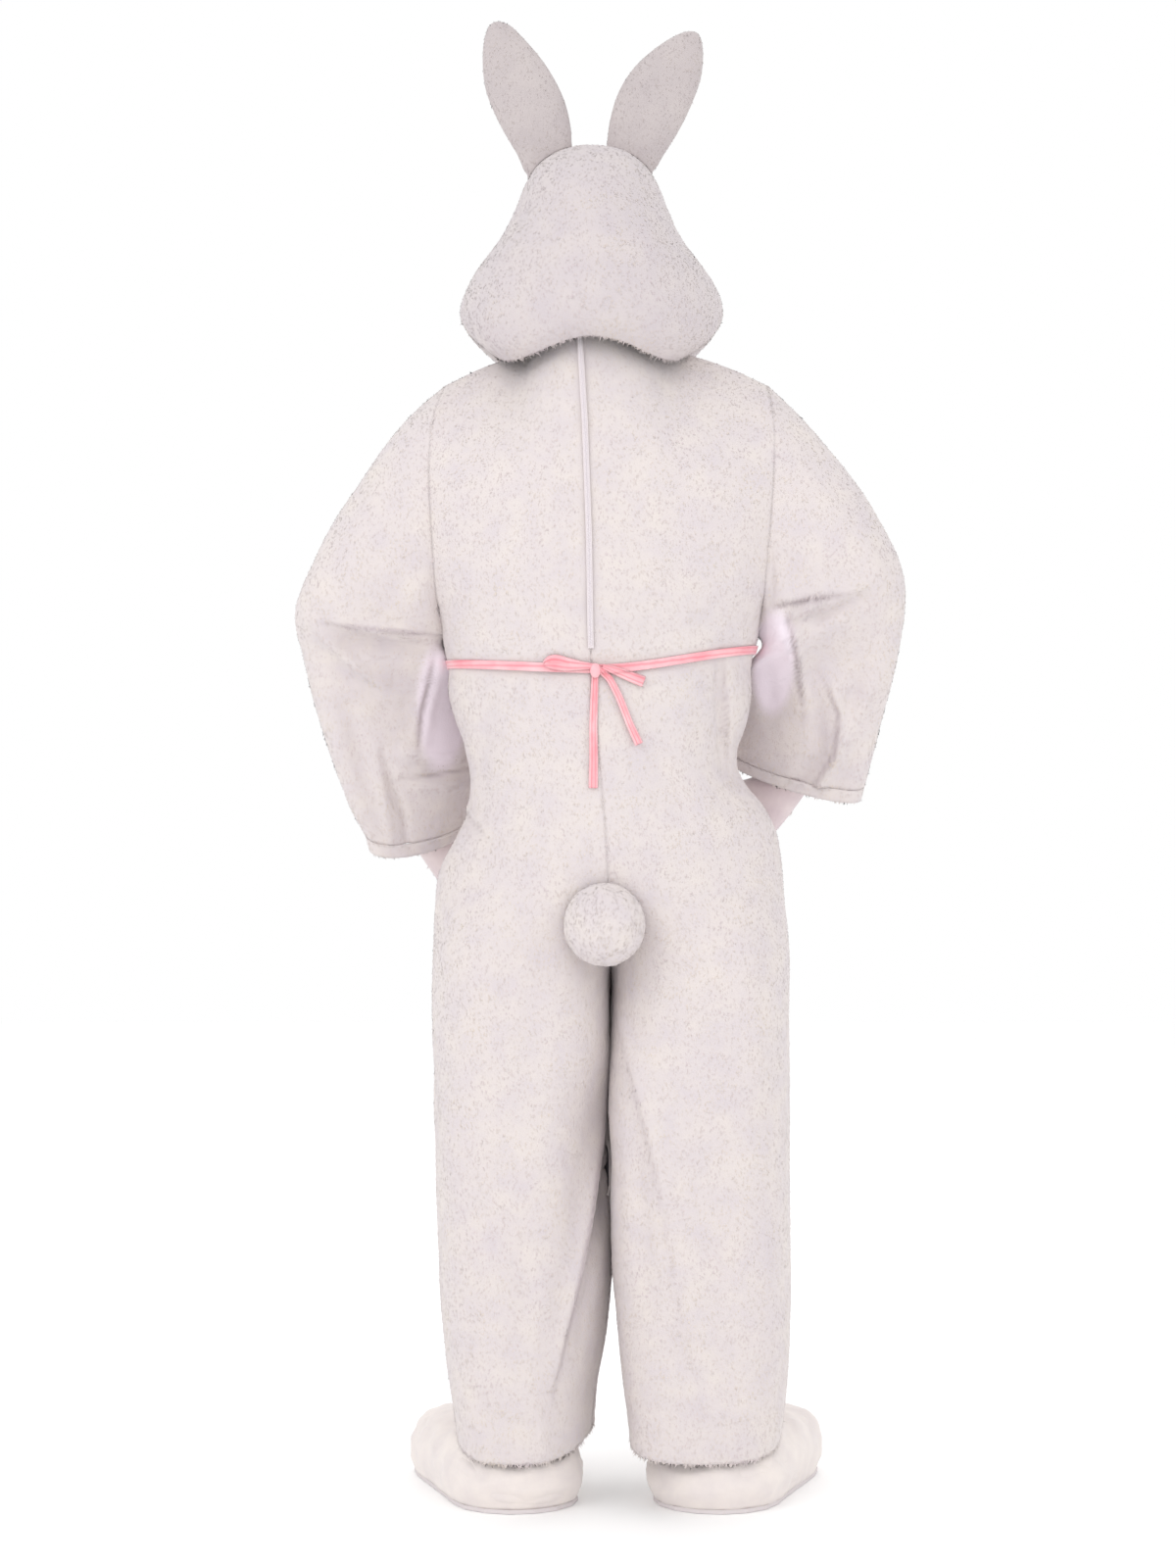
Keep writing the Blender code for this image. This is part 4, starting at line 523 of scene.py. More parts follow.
def solid_mesh(node):
    """A node's mesh with its corners joined."""
    bm = bmesh.new()
    bm.from_mesh(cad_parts[node].data)
    bmesh.ops.remove_doubles(bm, verts=bm.verts, dist=2e-5)
    return bm


def join_quads(bm, degrees):
    """Joins the triangles that lie within an angle of each other."""
    bmesh.ops.join_triangles(bm, faces=bm.faces, angle_face_threshold=math.radians(degrees),
                             angle_shape_threshold=math.pi)
    return bm


def merged_copy(node):
    """A copy of a node's mesh with its loose triangles joined to quads."""
    bm = join_quads(solid_mesh(node), 50)
    crease = bm.edges.layers.float.new("crease_edge")
    for edge in bm.edges:
        if edge.calc_face_angle(0.0) > CRISP_ANGLE:
            edge[crease] = 0.9
    return bm


def spread(seeds, allowed):
    """The faces reached from the seeds over shared edges, within the allowed ones."""
    found = set(seeds)
    todo = list(seeds)
    while todo:
        for edge in todo.pop().edges:
            for other in edge.link_faces:
                if other in allowed and other not in found:
                    found.add(other)
                    todo.append(other)
    return found


def sides_of(faces):
    """The joined sides that the faces fall into, the largest first."""
    left, sides = set(faces), []
    while left:
        sides.append(spread([next(iter(left))], left))
        left -= sides[-1]
    return sorted(sides, key=lambda side: -sum(face.calc_area() for face in side))


def keep_side(bm, side):
    """The mesh with one side alone, as quads."""
    bmesh.ops.delete(bm, geom=[face for face in bm.faces if face not in side], context="FACES")
    return join_quads(bm, 60)


def outer_round(node, middle):
    """The outer side of a bell-like wall: its faces that look away from its middle."""
    bm = solid_mesh(node)
    away = [face for face in bm.faces
            if face.normal.dot((face.calc_center_median() - middle).normalized()) > 0.2]
    return keep_side(bm, sides_of(away)[0])


def outer_sheet(node, thick):
    """The outer side of a wall: without the rim's short-edged faces a wall falls into two sides."""
    if node in ROUND_MIDDLES:
        return outer_round(node, Vector(ROUND_MIDDLES[node]))
    bm = solid_mesh(node)
    rim = set()
    for face in bm.faces:
        sizes = sorted(edge.calc_length() for edge in face.edges)
        if sizes[0] < RIM_SHARE * thick and sizes[1] > 1.5 * sizes[0]:
            rim.add(face)
    sides = sides_of(set(bm.faces) - rim)[:2]
    corners = [{vert for face in side for vert in face.verts} for side in sides]
    spare = set(bm.faces) - sides[0] - sides[1]
    growing = True
    while growing:
        growing = False
        for face in sorted(spare, key=lambda face: face.index):
            touched = [any(vert in corners[i] for vert in face.verts) for i in (0, 1)]
            if touched[0] != touched[1]:
                i = touched.index(True)
                sides[i].add(face)
                corners[i].update(face.verts)
                spare.discard(face)
                growing = True
    return keep_side(bm, sides[0])


def refined(bm, name, levels):
    """A finer, smoother mesh of a coarse one."""
    mesh = mesh_from(bm, name)
    obj = placed(name, mesh)
    step = obj.modifiers.new("finer", "SUBSURF")
    step.levels = step.render_levels = levels
    step.boundary_smooth = "PRESERVE_CORNERS"
    apply_steps(obj)
    bpy.data.meshes.remove(mesh)
    for polygon in obj.data.polygons:
        polygon.use_smooth = True
    return obj


def points_of(mesh, kind="co"):
    """The place of each point as a row."""
    values = np.zeros(len(mesh.vertices) * 3)
    mesh.vertices.foreach_get(kind, values)
    return values.reshape(-1, 3)


def normals_of(mesh):
    return points_of(mesh, "normal")


def put_points(mesh, points):
    mesh.vertices.foreach_set("co", points.ravel())
    mesh.update()


def rim_distance(mesh, reach):
    """How far each point lies from the sheet's edge, up to a reach."""
    bm = bmesh.new()
    bm.from_mesh(mesh)
    edges = [tuple(v.co.copy() for v in e.verts) for e in bm.edges if e.is_boundary]
    bm.free()
    if not edges:
        return np.full(len(mesh.vertices), reach)
    middles = np.array([(a + b) / 2 for a, b in edges])
    points = points_of(mesh)
    found = np.full(len(points), reach)
    for start in range(0, len(points), 2000):
        part = points[start:start + 2000]
        gaps = np.linalg.norm(part[:, None, :] - middles[None, :, :], axis=2).min(axis=1)
        found[start:start + 2000] = np.minimum(reach, gaps)
    return found


def crumple(points, scale, seed):
    """Soft unevenness from -1 to 1 at each point."""
    shift = Vector((seed * 3.1, seed * 1.7, seed * 0.9))
    return np.array([noise.noise(Vector(p) * scale + shift) for p in points])


def beside_line(points, line):
    """Each point's distance from a line, its share of the way along, and how far it is to its left."""
    place = np.stack((points[:, 0], points[:, 2] - FLOOR), axis=1)
    line = np.array(line)
    runs = np.linalg.norm(np.diff(line, axis=0), axis=1)
    near = np.full(len(points), 1e9)
    share = np.zeros(len(points))
    hand = np.zeros(len(points))
    for i, run in enumerate(runs):
        step = line[i + 1] - line[i]
        along = np.clip((place - line[i]) @ step / (run * run), 0, 1)
        offset = place - line[i] - along[:, None] * step
        off = np.linalg.norm(offset, axis=1)
        closer = off < near
        share = np.where(closer, (runs[:i].sum() + along * run) / runs.sum(), share)
        hand = np.where(closer, (step[0] * offset[:, 1] - step[1] * offset[:, 0]) / run, hand)
        near = np.minimum(near, off)
    return near, share, hand


def fold_move(points, fold):
    """How far one fold lifts each point: strongest in its middle, fading to both ends and sides."""
    near, share, _ = beside_line(points, fold.line)
    return fold.depth * (0.4 + 0.6 * np.sin(math.pi * share)) * fading(near, fold.width)


def lip_fade(share):
    """A lip's strength along its line: full over most of it and none at both ends."""
    return np.sin(math.pi * np.clip(share, 0.02, 0.98)) ** 0.5


def lip_move(points, lip):
    """How far a lip lifts each point on its left hand and sinks it on its right."""
    near, share, hand = beside_line(points, lip.line)
    return lip.depth * lip_fade(share) * np.tanh(hand / LIP_STEP) * fading(near, lip.width)


def lip_painted_shade(points, node):
    """How much painted shade each point gets under a lip, from 0 to 1: a dark line in the crease and a soft
    shade round it.
    """
    found = np.zeros(len(points))
    for lip in LIPS.get(node, ()):
        near, share, hand = beside_line(points, lip.line)
        # Painted shade: the dark line just under the lip, and the soft shade round it
        deep = (fading(hand + PAINTED_DARK_LINE, PAINTED_DARK_WIDTH)
                + PAINTED_SHADE_SHARE * fading(hand + PAINTED_SHADE_LINE, PAINTED_SHADE_WIDTH))
        found = np.maximum(found, lip_fade(share) * deep * fading(np.maximum(0, near - PAINTED_SHADE_END), 0.01)
                           * min(1.0, lip.depth / FULL_LIP))
    return np.clip(found, 0, 1)


def shape_cloth(mesh, node, inset, seed):
    """Presses the folds, the sewn edges and a soft unevenness into a sheet."""
    points = points_of(mesh)
    for bulge in BULGES.get(node, ()):
        off = np.hypot(points[:, 0] - bulge.x, (points[:, 2] - FLOOR - bulge.h) * bulge.stretch)
        points[:, 0] += bulge.move * fading(off, bulge.width)
    put_points(mesh, points)
    move = np.full(len(points), -inset)
    for fold in FOLDS.get(node, ()):
        move += fold_move(points, fold)
    for lip in LIPS.get(node, ()):
        move += lip_move(points, lip)
    move += WAVE * crumple(points, WAVE_TURNS, seed) + RIPPLE * crumple(points, RIPPLE_TURNS, seed + 1)
    move -= EDGE_DIP * (1 - rim_distance(mesh, EDGE_REACH) / EDGE_REACH) ** 2
    put_points(mesh, points + normals_of(mesh) * move[:, None])


def open_edge(mesh):
    """The points along a sheet's edge, and a denser row of places on it."""
    ends = np.zeros(len(mesh.edges) * 2, int)
    mesh.edges.foreach_get("vertices", ends)
    ends = ends.reshape(-1, 2)
    bm = bmesh.new()
    bm.from_mesh(mesh)
    ends = ends[[edge.is_boundary for edge in bm.edges]]
    bm.free()
    points = points_of(mesh)
    shares = np.linspace(0, 1, 6)[None, :, None]
    row = points[ends[:, 0]][:, None, :] * (1 - shares) + points[ends[:, 1]][:, None, :] * shares
    return np.unique(ends), row.reshape(-1, 3)


def beside_zip(points):
    """Which points lie beside the zip's tape, where the panels' edges stay apart."""
    return (np.abs(points[:, 0] + 0.016) < 0.03) & (points[:, 2] - FLOOR > 1.03) & (points[:, 1] < 0)


def close_seams(sheets, reach):
    """Draws neighbouring sheets' edges together halfway, so that no gap shows at a seam."""
    edges = [open_edge(sheet) for sheet in sheets]
    for i, sheet in enumerate(sheets):
        corners = edges[i][0]
        others = np.concatenate([row for j, (_, row) in enumerate(edges) if j != i])
        points = points_of(sheet)
        for start in range(0, len(corners), 200):
            part = corners[start:start + 200]
            gaps = np.linalg.norm(points[part][:, None, :] - others[None, :, :], axis=2)
            best = gaps.argmin(axis=1)
            meet = (gaps.min(axis=1) < reach) & ~beside_zip(points[part])
            points[part[meet]] = (points[part[meet]] + others[best[meet]]) / 2
        put_points(sheet, points)


def mark_smooth(mesh, node):
    """Marks a sleeve's smooth side, whose colour is painted lighter, and the painted shade in the creases
    under the lips, for the finishes.
    """
    points = points_of(mesh)
    mark_points(mesh, "smooth_side", smooth_share(points, SMOOTH.get(node)))
    mark_points(mesh, "crease", lip_painted_shade(points, node))


def smooth_share(points, zone):
    """How far each point lies inside a smooth zone, from 0 to 1."""
    if zone is None:
        return np.zeros(len(points))
    off = np.hypot((points[:, 0] - zone.x) / zone.wide, (points[:, 2] - FLOOR - zone.h) / zone.tall)
    return np.clip((1.15 - off) / 0.3, 0, 1)


def thicken(obj, thick):
    """Gives a sheet its wall, inward from its outer side, with the reverse as its second material."""
    step = obj.modifiers.new("wall", "SOLIDIFY")
    step.thickness = thick
    step.offset = -1.0
    step.use_rim = True
    step.material_offset = 1
    apply_steps(obj)


def lay_pile(name, sheet, count, length, width, rise, material, seed, clear=None):
    """Tufts all over a mesh: one slim leaf each, lying with the nap, shaded like the cloth under it."""
    rng = np.random.RandomState(seed)
    sheet.calc_loop_triangles()
    points = points_of(sheet)
    normals = normals_of(sheet)
    corners = np.zeros(len(sheet.loop_triangles) * 3, int)
    sheet.loop_triangles.foreach_get("vertices", corners)
    corners = corners.reshape(-1, 3)
    a, b, c = (points[corners[:, i]] for i in range(3))
    areas = np.linalg.norm(np.cross(b - a, c - a), axis=1) / 2
    total = int(areas.sum() * count)
    face = rng.choice(len(corners), total, p=areas / areas.sum())
    u, v = rng.rand(total), rng.rand(total)
    over = u + v > 1
    u[over], v[over] = 1 - u[over], 1 - v[over]
    share = np.stack((1 - u - v, u, v), axis=1)[:, :, None]
    root = (points[corners[face]] * share).sum(axis=1)
    normal = unit((normals[corners[face]] * share).sum(axis=1))
    short = np.ones(total)
    if clear is not None:
        short = np.array([clear(Vector(p)) for p in root])
        keep = short > 0.05
        root, normal, short = root[keep], normal[keep], short[keep]
        total = len(root)
    # The nap hangs down, wanders from patch to patch and differs a little from tuft to tuft
    droop = np.array((0.0, 0.0, -1.0))
    nap = droop - normal * (normal @ droop)[:, None]
    nap += NAP_SPREAD * rng.randn(total, 3)
    nap += NAP_WANDER * np.stack([crumple(root, NAP_TURNS, seed + turn) for turn in (11, 12, 13)], axis=1)
    nap = unit(nap - normal * (nap * normal).sum(axis=1)[:, None], 1e-9)
    size = length * (0.65 + 0.6 * rng.rand(total)) * short
    lift = rise * (0.6 + 0.8 * rng.rand(total))
    way = normal * lift[:, None] + nap * np.sqrt(np.clip(1 - lift**2, 0.05, 1))[:, None]
    obj = tufts(name, root, normal, way, size, width, material, rng)
    # The tufts get the same painted shade under the lips as the cloth
    mark_points(obj.data, "crease", np.repeat(lip_painted_shade(root, name[len("pile_"):]), 4))
    return obj


def tufts(name, root, normal, way, size, width, material, rng):
    """A slim three-sided tuft for each root, its foot sunk in the cloth, shaded like the cloth."""
    total = len(root)
    side = unit(np.cross(normal, way), 1e-9)
    front = np.cross(side, normal)
    half = (width * (0.6 + 0.7 * rng.rand(total)) / 2)[:, None]
    foot = root - normal * TUFT_FOOT
    tip = root + way * size[:, None]
    ends = (foot + side * half, foot - side * half * 0.9 + front * half * 0.3,
            foot - front * half * 1.6, tip)
    mesh = bpy.data.meshes.new(name)
    mesh.vertices.add(total * 4)
    mesh.vertices.foreach_set("co", np.stack(ends, axis=1).ravel())
    first = np.arange(total)[:, None] * 4
    corners = first + np.array((1, 0, 3, 2, 1, 3, 0, 2, 3))[None, :]
    mesh.loops.add(total * 9)
    mesh.loops.foreach_set("vertex_index", corners.ravel())
    mesh.polygons.add(total * 3)
    mesh.polygons.foreach_set("loop_start", np.arange(total * 3) * 3)
    mesh.polygons.foreach_set("use_smooth", np.ones(total * 3, bool))
    mesh.update(calc_edges=True)
    mark_points(mesh, "along", np.tile((0.0, 0.0, 0.0, 1.0), total))
    mark_points(mesh, "shade", np.repeat(rng.rand(total), 4))
    leaning = unit(normal + 0.06 * rng.randn(total, 3) + way * 0.05)
    mesh.normals_split_custom_set_from_vertices(np.repeat(leaning, 4, axis=0))
    mesh.materials.append(material)
    return placed(name, mesh)


def off_trims(*nodes):
    """How long tufts may be at a point: nothing on the trims, full length some way off them."""
    trees = [tree_of(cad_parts[node].data) for node in nodes]

    def clear(point):
        near = TRIM_REACH
        for tree in trees:
            found = tree.find_nearest(point, TRIM_REACH)
            if found[0] is not None:
                near = min(near, found[3])
        return min(1.0, max(0.0, (near - TRIM_GAP) / (TRIM_REACH - TRIM_GAP)))

    return clear


def off_smooth(zone):
    """How long tufts may be at a point: nothing on a smooth side."""
    if zone is None:
        return None
    return lambda point: 1.0 - float(smooth_share(np.array([point]), zone)[0])


def lay_fringe(name, sheet, where, material, seed):
    """Loose tufts along the sheet's open edges, as long as a rule for the place says."""
    rng = np.random.RandomState(seed)
    bm = bmesh.new()
    bm.from_mesh(sheet)
    bm.normal_update()
    roots, normals, ways, sizes = [], [], [], []
    for edge in bm.edges:
        middle = (edge.verts[0].co + edge.verts[1].co) / 2
        share_here = where(middle) if edge.is_boundary else 0.0
        if share_here <= 0.0:
            continue
        normal = (edge.verts[0].normal + edge.verts[1].normal).normalized()
        line = (edge.verts[1].co - edge.verts[0].co).normalized()
        out = line.cross(normal).normalized()
        if (edge.link_faces[0].calc_center_median() - middle).dot(out) > 0:
            out = -out
        for i in range(rng.poisson(FRINGE_COUNT * edge.calc_length())):
            share = rng.rand()
            roots.append(edge.verts[0].co.lerp(edge.verts[1].co, share) - out * rng.rand() * 0.004)
            normals.append(normal)
            ways.append((out + line * rng.randn() * FRINGE_SPLAY + normal * rng.randn() * 0.3).normalized())
            sizes.append(FRINGE_LENGTH * share_here * (0.4 + 0.9 * rng.rand() ** 1.5))
    bm.free()
    return tufts(name, np.array(roots), np.array(normals), np.array(ways),
                 np.array(sizes), FRINGE_WIDTH, material, rng)


SUIT_PANELS = ("back_left", "back_right", "front_left", "front_right", "sleeve_left_back",
               "sleeve_left_front", "sleeve_right_back", "sleeve_right_front")
SUIT_WALL = 0.0045
BACK_LEVELS = 3
FRONT_LEVELS = 2
HEAD_WALL = 0.010


def cut_panel(node, seed, sizes):
    """The bare shaped sheet of one panel."""
    levels = BACK_LEVELS if node.endswith("back") or node.startswith("back") else FRONT_LEVELS
    obj = refined(outer_sheet(node, sizes["solid"]), "cloth_" + node, levels)
    shape_cloth(obj.data, node, sizes["inset"], seed)
    return obj


def dress_panel(obj, node, ground, pile_finish, reverse, seed, sizes, clear, fringe):
    """Gives a panel its pile, fringe, finishes and wall."""
    mark_smooth(obj.data, node)
    pile = lay_pile("pile_" + node, obj.data, sizes["count"], sizes["length"], sizes["width"],
                    sizes["rise"], finish(pile_finish), seed, clear=clear)
    edging = lay_fringe("fringe_" + node, obj.data, fringe, finish(pile_finish), seed)
    wear(edging)
    for name in (ground, reverse):
        obj.data.materials.append(finish(name))
    thicken(obj, sizes["wall"])
    wear(obj, node)
    wear(pile)


def body_fringe(place):
    """Full length at the hems, short beside the zip and over the seams, none at the neck."""
    height = place.z - FLOOR
    if height < 0.10:
        return 1.0
    if beside_zip(np.array([place]))[0]:
        return 0.30
    return 0.0 if height > 1.425 else 0.35


def sleeve_fringe(place):
    """Short all along the sleeve's seams."""
    return 0.35


class CostumeSizes(bpy.types.PropertyGroup):
    """Sizes of the cloth that a user would change."""
    pile_length: bpy.props.FloatProperty(
        name="Pile length", description="Length of the plush tufts", default=0.0050, unit="LENGTH")
    pile_count: bpy.props.FloatProperty(
        name="Pile count", description="Tufts on each square metre", default=48000.0)


def colour_choice(name, description, code):
    return bpy.props.FloatVectorProperty(name=name, description=description, subtype="COLOR", size=3,
                                         min=0.0, max=1.0, default=linear(code)[:3])


class CostumeColours(bpy.types.PropertyGroup):
    """Colours of the cloth that a user would change."""
    plush_low: colour_choice("Plush, shaded", "Lilac patches of the suit's plush", "#D2C9CC")
    plush_high: colour_choice("Plush, lit", "Cream patches of the suit's plush", "#DBD2CE")
    # Tufts here and on the head and ears are painted lighter towards their tips: painted light at the tips
    # over painted shade at the roots
    pile_body: colour_choice("Pile", "Middle of the suit's tufts", "#D8CFCC")
    pile_tip: colour_choice("Pile tips", "Tips of the suit's tufts", "#DED5D0")
    # The smooth side is painted lighter than the plush: painted light in the recess between sleeve and
    # torso
    lining: colour_choice("Sleeve, smooth side", "Smooth inner side of the sleeves", "#EDE2EB")
    head_low: colour_choice("Head, shaded", "Lilac patches of the head's plush", "#C8BFC3")
    head_high: colour_choice("Head, lit", "Cream patches of the head's plush", "#D0C7C6")
    head_tip: colour_choice("Head, pile tips", "Tips of the head's tufts", "#D8CFCC")
    ear_low: colour_choice("Ear, shaded", "Shaded patches of the ears' plush", "#B9B0B1")
    ear_high: colour_choice("Ear, lit", "Lit patches of the ears' plush", "#C2B9B8")
    ear_tip: colour_choice("Ear, pile tips", "Tips of the ears' tufts", "#CCC3BF")
    satin_low: colour_choice("Satin, shaded", "Darker patches of the pink satin", "#EFA5AE")
    satin_high: colour_choice("Satin, lit", "Lighter patches of the pink satin", "#F6C6CA")
    # Colour of the painted shade in the ribbon's creases
    satin_fold: colour_choice("Satin, folds", "How much the ribbon's creases deepen its pink", "#F6C6CE")
    palm_low: colour_choice("Palm, shaded", "Darker patches of the palm's knit", "#D6C6CA")
    palm_high: colour_choice("Palm, lit", "Lighter patches of the palm's knit", "#E4D6D6")
    velour_low: colour_choice("Velour, shaded", "Darker patches of the shoe covers", "#DDD4D2")
    velour_high: colour_choice("Velour, lit", "Lighter patches of the shoe covers", "#E8DFDA")


class COSTUME_OT_suit(bpy.types.Operator):
    """Lays the plush over the jumpsuit's panels"""
    bl_idname = "costume.suit"
    bl_label = "Jumpsuit plush"

    def execute(self, context):
        sizes = context.scene.costume_sizes
        cloth = {"inset": 0.0012, "count": sizes.pile_count, "length": sizes.pile_length,
                 "width": 0.0034, "rise": 0.11, "wall": 0.0028, "solid": SUIT_WALL}
        clear = off_trims("ribbon_waist", "zip_tape", "bow_knot", "tail")
        panels = [cut_panel(node, SEED + number, cloth) for number, node in enumerate(SUIT_PANELS)]
        close_seams([panel.data for panel in panels], SUIT_SEAM)
        for number, node in enumerate(SUIT_PANELS):
            body = node.startswith(("back", "front"))
            dress_panel(panels[number], node, "plush ground", "plush pile", "plush reverse",
                        SEED + number, cloth, clear=clear if body else off_smooth(SMOOTH.get(node)),
                        fringe=body_fringe if body else sleeve_fringe)
        return {"FINISHED"}


class COSTUME_OT_head(bpy.types.Operator):
    """Lays the plush over the two halves of the head"""
    bl_idname = "costume.head"
    bl_label = "Head plush"

    def execute(self, context):
        sizes = context.scene.costume_sizes
        cloth = {"inset": 0.0016, "count": sizes.pile_count, "length": sizes.pile_length * 1.05,
                 "width": 0.0036, "rise": 0.11, "wall": 0.006, "solid": HEAD_WALL}
        clear = off_trims("eye_left", "eye_right", "nose")
        halves = ("head_back", "head_face")
        panels = [cut_panel(node, SEED + 20 + number, cloth) for number, node in enumerate(halves)]
        close_seams([panel.data for panel in panels], HEAD_SEAM)
        for number, node in enumerate(halves):
            dress_panel(panels[number], node, "head ground", "head pile", "foam inside", SEED + 20 + number,
                        cloth, clear=clear, fringe=lambda place: 1.0 if place.z < 0.06 else 0.5)
        return {"FINISHED"}


def draw_onto(mesh, tree, reach):
    """Draws a piece's nearest points onto the cloth that carries it, so that no gap shows."""
    points = points_of(mesh)
    for i, point in enumerate(points):
        place, _, _, gap = tree.find_nearest(Vector(point), reach)
        if place is not None:
            points[i] += (np.array(place) - point) * (1 - gap / reach) ** 0.5
    put_points(mesh, points)


def crease_shoe(mesh, seed):
    """Slack velour: uneven rolling folds, and a lower edge that hangs over the sole."""
    points = points_of(mesh)
    height = points[:, 2] - FLOOR
    roll = 1 - 2 * np.abs(crumple(points * (1.0, 1.0, 1.8), 17.0, seed))
    fine = 1 - 2 * np.abs(crumple(points * (1.0, 1.0, 1.5), 38.0, seed + 3))
    move = (0.0042 * (roll - 0.55) + 0.0016 * (fine - 0.5)) * np.clip(height / 0.02, 0.25, 1)
    low = np.clip(1 - height / 0.012, 0, 1)
    points += normals_of(mesh) * (move + 0.0014 * low)[:, None]
    points[:, 2] = np.maximum(FLOOR + 0.0006, points[:, 2] - 0.0030 * low)
    put_points(mesh, points)


def dress_closed(node, name, ground, seed, pile=None, clump=0.0, carrier=()):
    """A closed soft piece over its solid; pile is a finish, a count, a length and a rise."""
    obj = refined(merged_copy(node), name, PIECE_LEVELS)
    if carrier:
        draw_onto(obj.data, tree_of(*(bpy.data.objects[other].data for other in carrier)), CARRIER_REACH)
    if node.startswith("shoe_cover"):
        crease_shoe(obj.data, seed)
    if clump:
        points = points_of(obj.data)
        move = clump * crumple(points, 70.0, seed) + clump * 0.6 * crumple(points, 150.0, seed + 1)
        put_points(obj.data, points + normals_of(obj.data) * (move - clump * 0.6)[:, None])
    obj.data.materials.append(finish(ground))
    wear(obj, node)
    tufted = []
    if pile:
        look, count, length, rise = pile
        tufted.append(lay_pile(name + "_pile", obj.data, count, length, PIECE_PILE_WIDTH, rise,
                               finish(look), seed))
        wear(tufted[0])
    return obj


def coat(node, look):
    """Gives a node that keeps its own mesh its finish."""
    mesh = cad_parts[node].data
    mesh.materials.clear()
    mesh.materials.append(finish(look))


class COSTUME_OT_stuffed(bpy.types.Operator):
    """Makes the ears, the ball tail and the nose"""
    bl_idname = "costume.stuffed"
    bl_label = "Ears, tail and nose"

    def execute(self, context):
        count = context.scene.costume_sizes.pile_count
        for number, side in enumerate(("left", "right")):
            dress_closed(f"ear_{side}", f"stuffed_ear_{side}", "ear ground", SEED + 30 + number,
                         ("ear pile", count, 0.005, 0.14),
                         carrier=("cloth_head_back", "cloth_head_face"))
            dress_closed(f"ear_front_{side}", f"satin_ear_{side}", "pink satin", SEED + 34 + number)
        dress_closed("tail", "stuffed_tail", "plush ground", SEED + 40,
                     ("plush pile", count * 1.3, 0.006, 0.16), clump=0.0008)
        dress_closed("nose", "stuffed_nose", "pink satin", SEED + 41)
        return {"FINISHED"}


class COSTUME_OT_trims(bpy.types.Operator):
    """Finishes the mittens, shoe covers, ribbon, bow, zip and eyes"""
    bl_idname = "costume.trims"
    bl_label = "Trims"

    def execute(self, context):
        count = context.scene.costume_sizes.pile_count
        for number, side in enumerate(("left", "right")):
            dress_closed(f"mitten_{side}_palm", f"knit_palm_{side}", "palm knit", SEED + 50)
            for part in ("back", "thumb"):
                dress_closed(f"mitten_{side}_{part}", f"plush_{part}_{side}", "plush ground",
                             SEED + 52 + number, ("plush pile", count * 0.6, 0.005, 0.2))
            dress_closed(f"shoe_cover_{side}", f"velour_shoe_{side}", "white velour", SEED + 56 + number)
            dress_closed(f"cuff_{side}", f"cased_cuff_{side}", "plush ground", SEED + 58 + number,
                         ("plush pile", count, 0.005, 0.15))
            coat(f"eye_{side}", "black gloss")
            coat(f"shoe_sole_{side}", "sole sheet")
        ribbon = dress_closed("ribbon_waist", "satin_ribbon_waist", "ribbon satin", SEED + 60)
        mark_across(ribbon.data)
        dress_closed("bow_knot", "satin_bow_knot", "pink satin", SEED + 61)
        tree = tree_of(*(bpy.data.objects[name].data
                         for name in ("cloth_back_left", "cloth_back_right", "satin_ribbon_waist")))
        for node in RIBBONS:
            lay_ribbon(node, tree)
        for node, look in (("zip_tape", "nylon"), ("zip_slider", "nickel"), ("zip_pull", "nickel")):
            coat(node, look)
        return {"FINISHED"}


# Rows of the bow's ribbons: middle points (x, height), each with its half width
RIBBONS = {
    "bow_loop_left": ((-0.0040, 1.0520, 0.0028), (-0.0220, 1.0525, 0.0052), (-0.0420, 1.0540, 0.0086),
                      (-0.0560, 1.0575, 0.0098), (-0.0650, 1.0568, 0.0080), (-0.0690, 1.0545, 0.0038)),
    "bow_loop_right": ((0.0030, 1.0520, 0.0030), (0.0180, 1.0470, 0.0052), (0.0360, 1.0400, 0.0064),
                       (0.0540, 1.0330, 0.0068)),
    "bow_tail_long": ((-0.0060, 1.0480, 0.0040), (-0.0070, 1.0200, 0.0046), (-0.0085, 0.9800, 0.0048),
                      (-0.0080, 0.9400, 0.0052), (-0.0085, 0.9020, 0.0056)),
    "bow_tail_short": ((-0.0020, 1.0490, 0.0040), (0.0120, 1.0370, 0.0044), (0.0240, 1.0130, 0.0046),
                       (0.0360, 0.9820, 0.0046), (0.0480, 0.9560, 0.0052)),
}
RIBBON_STEP = 0.0025
RIBBON_ACROSS = 10
RIBBON_WALL = 0.0006
RIBBON_LIFT = {"bow_loop_left": 0.0022, "bow_loop_right": 0.0020, "bow_tail_long": 0.0012,
               "bow_tail_short": 0.0024}


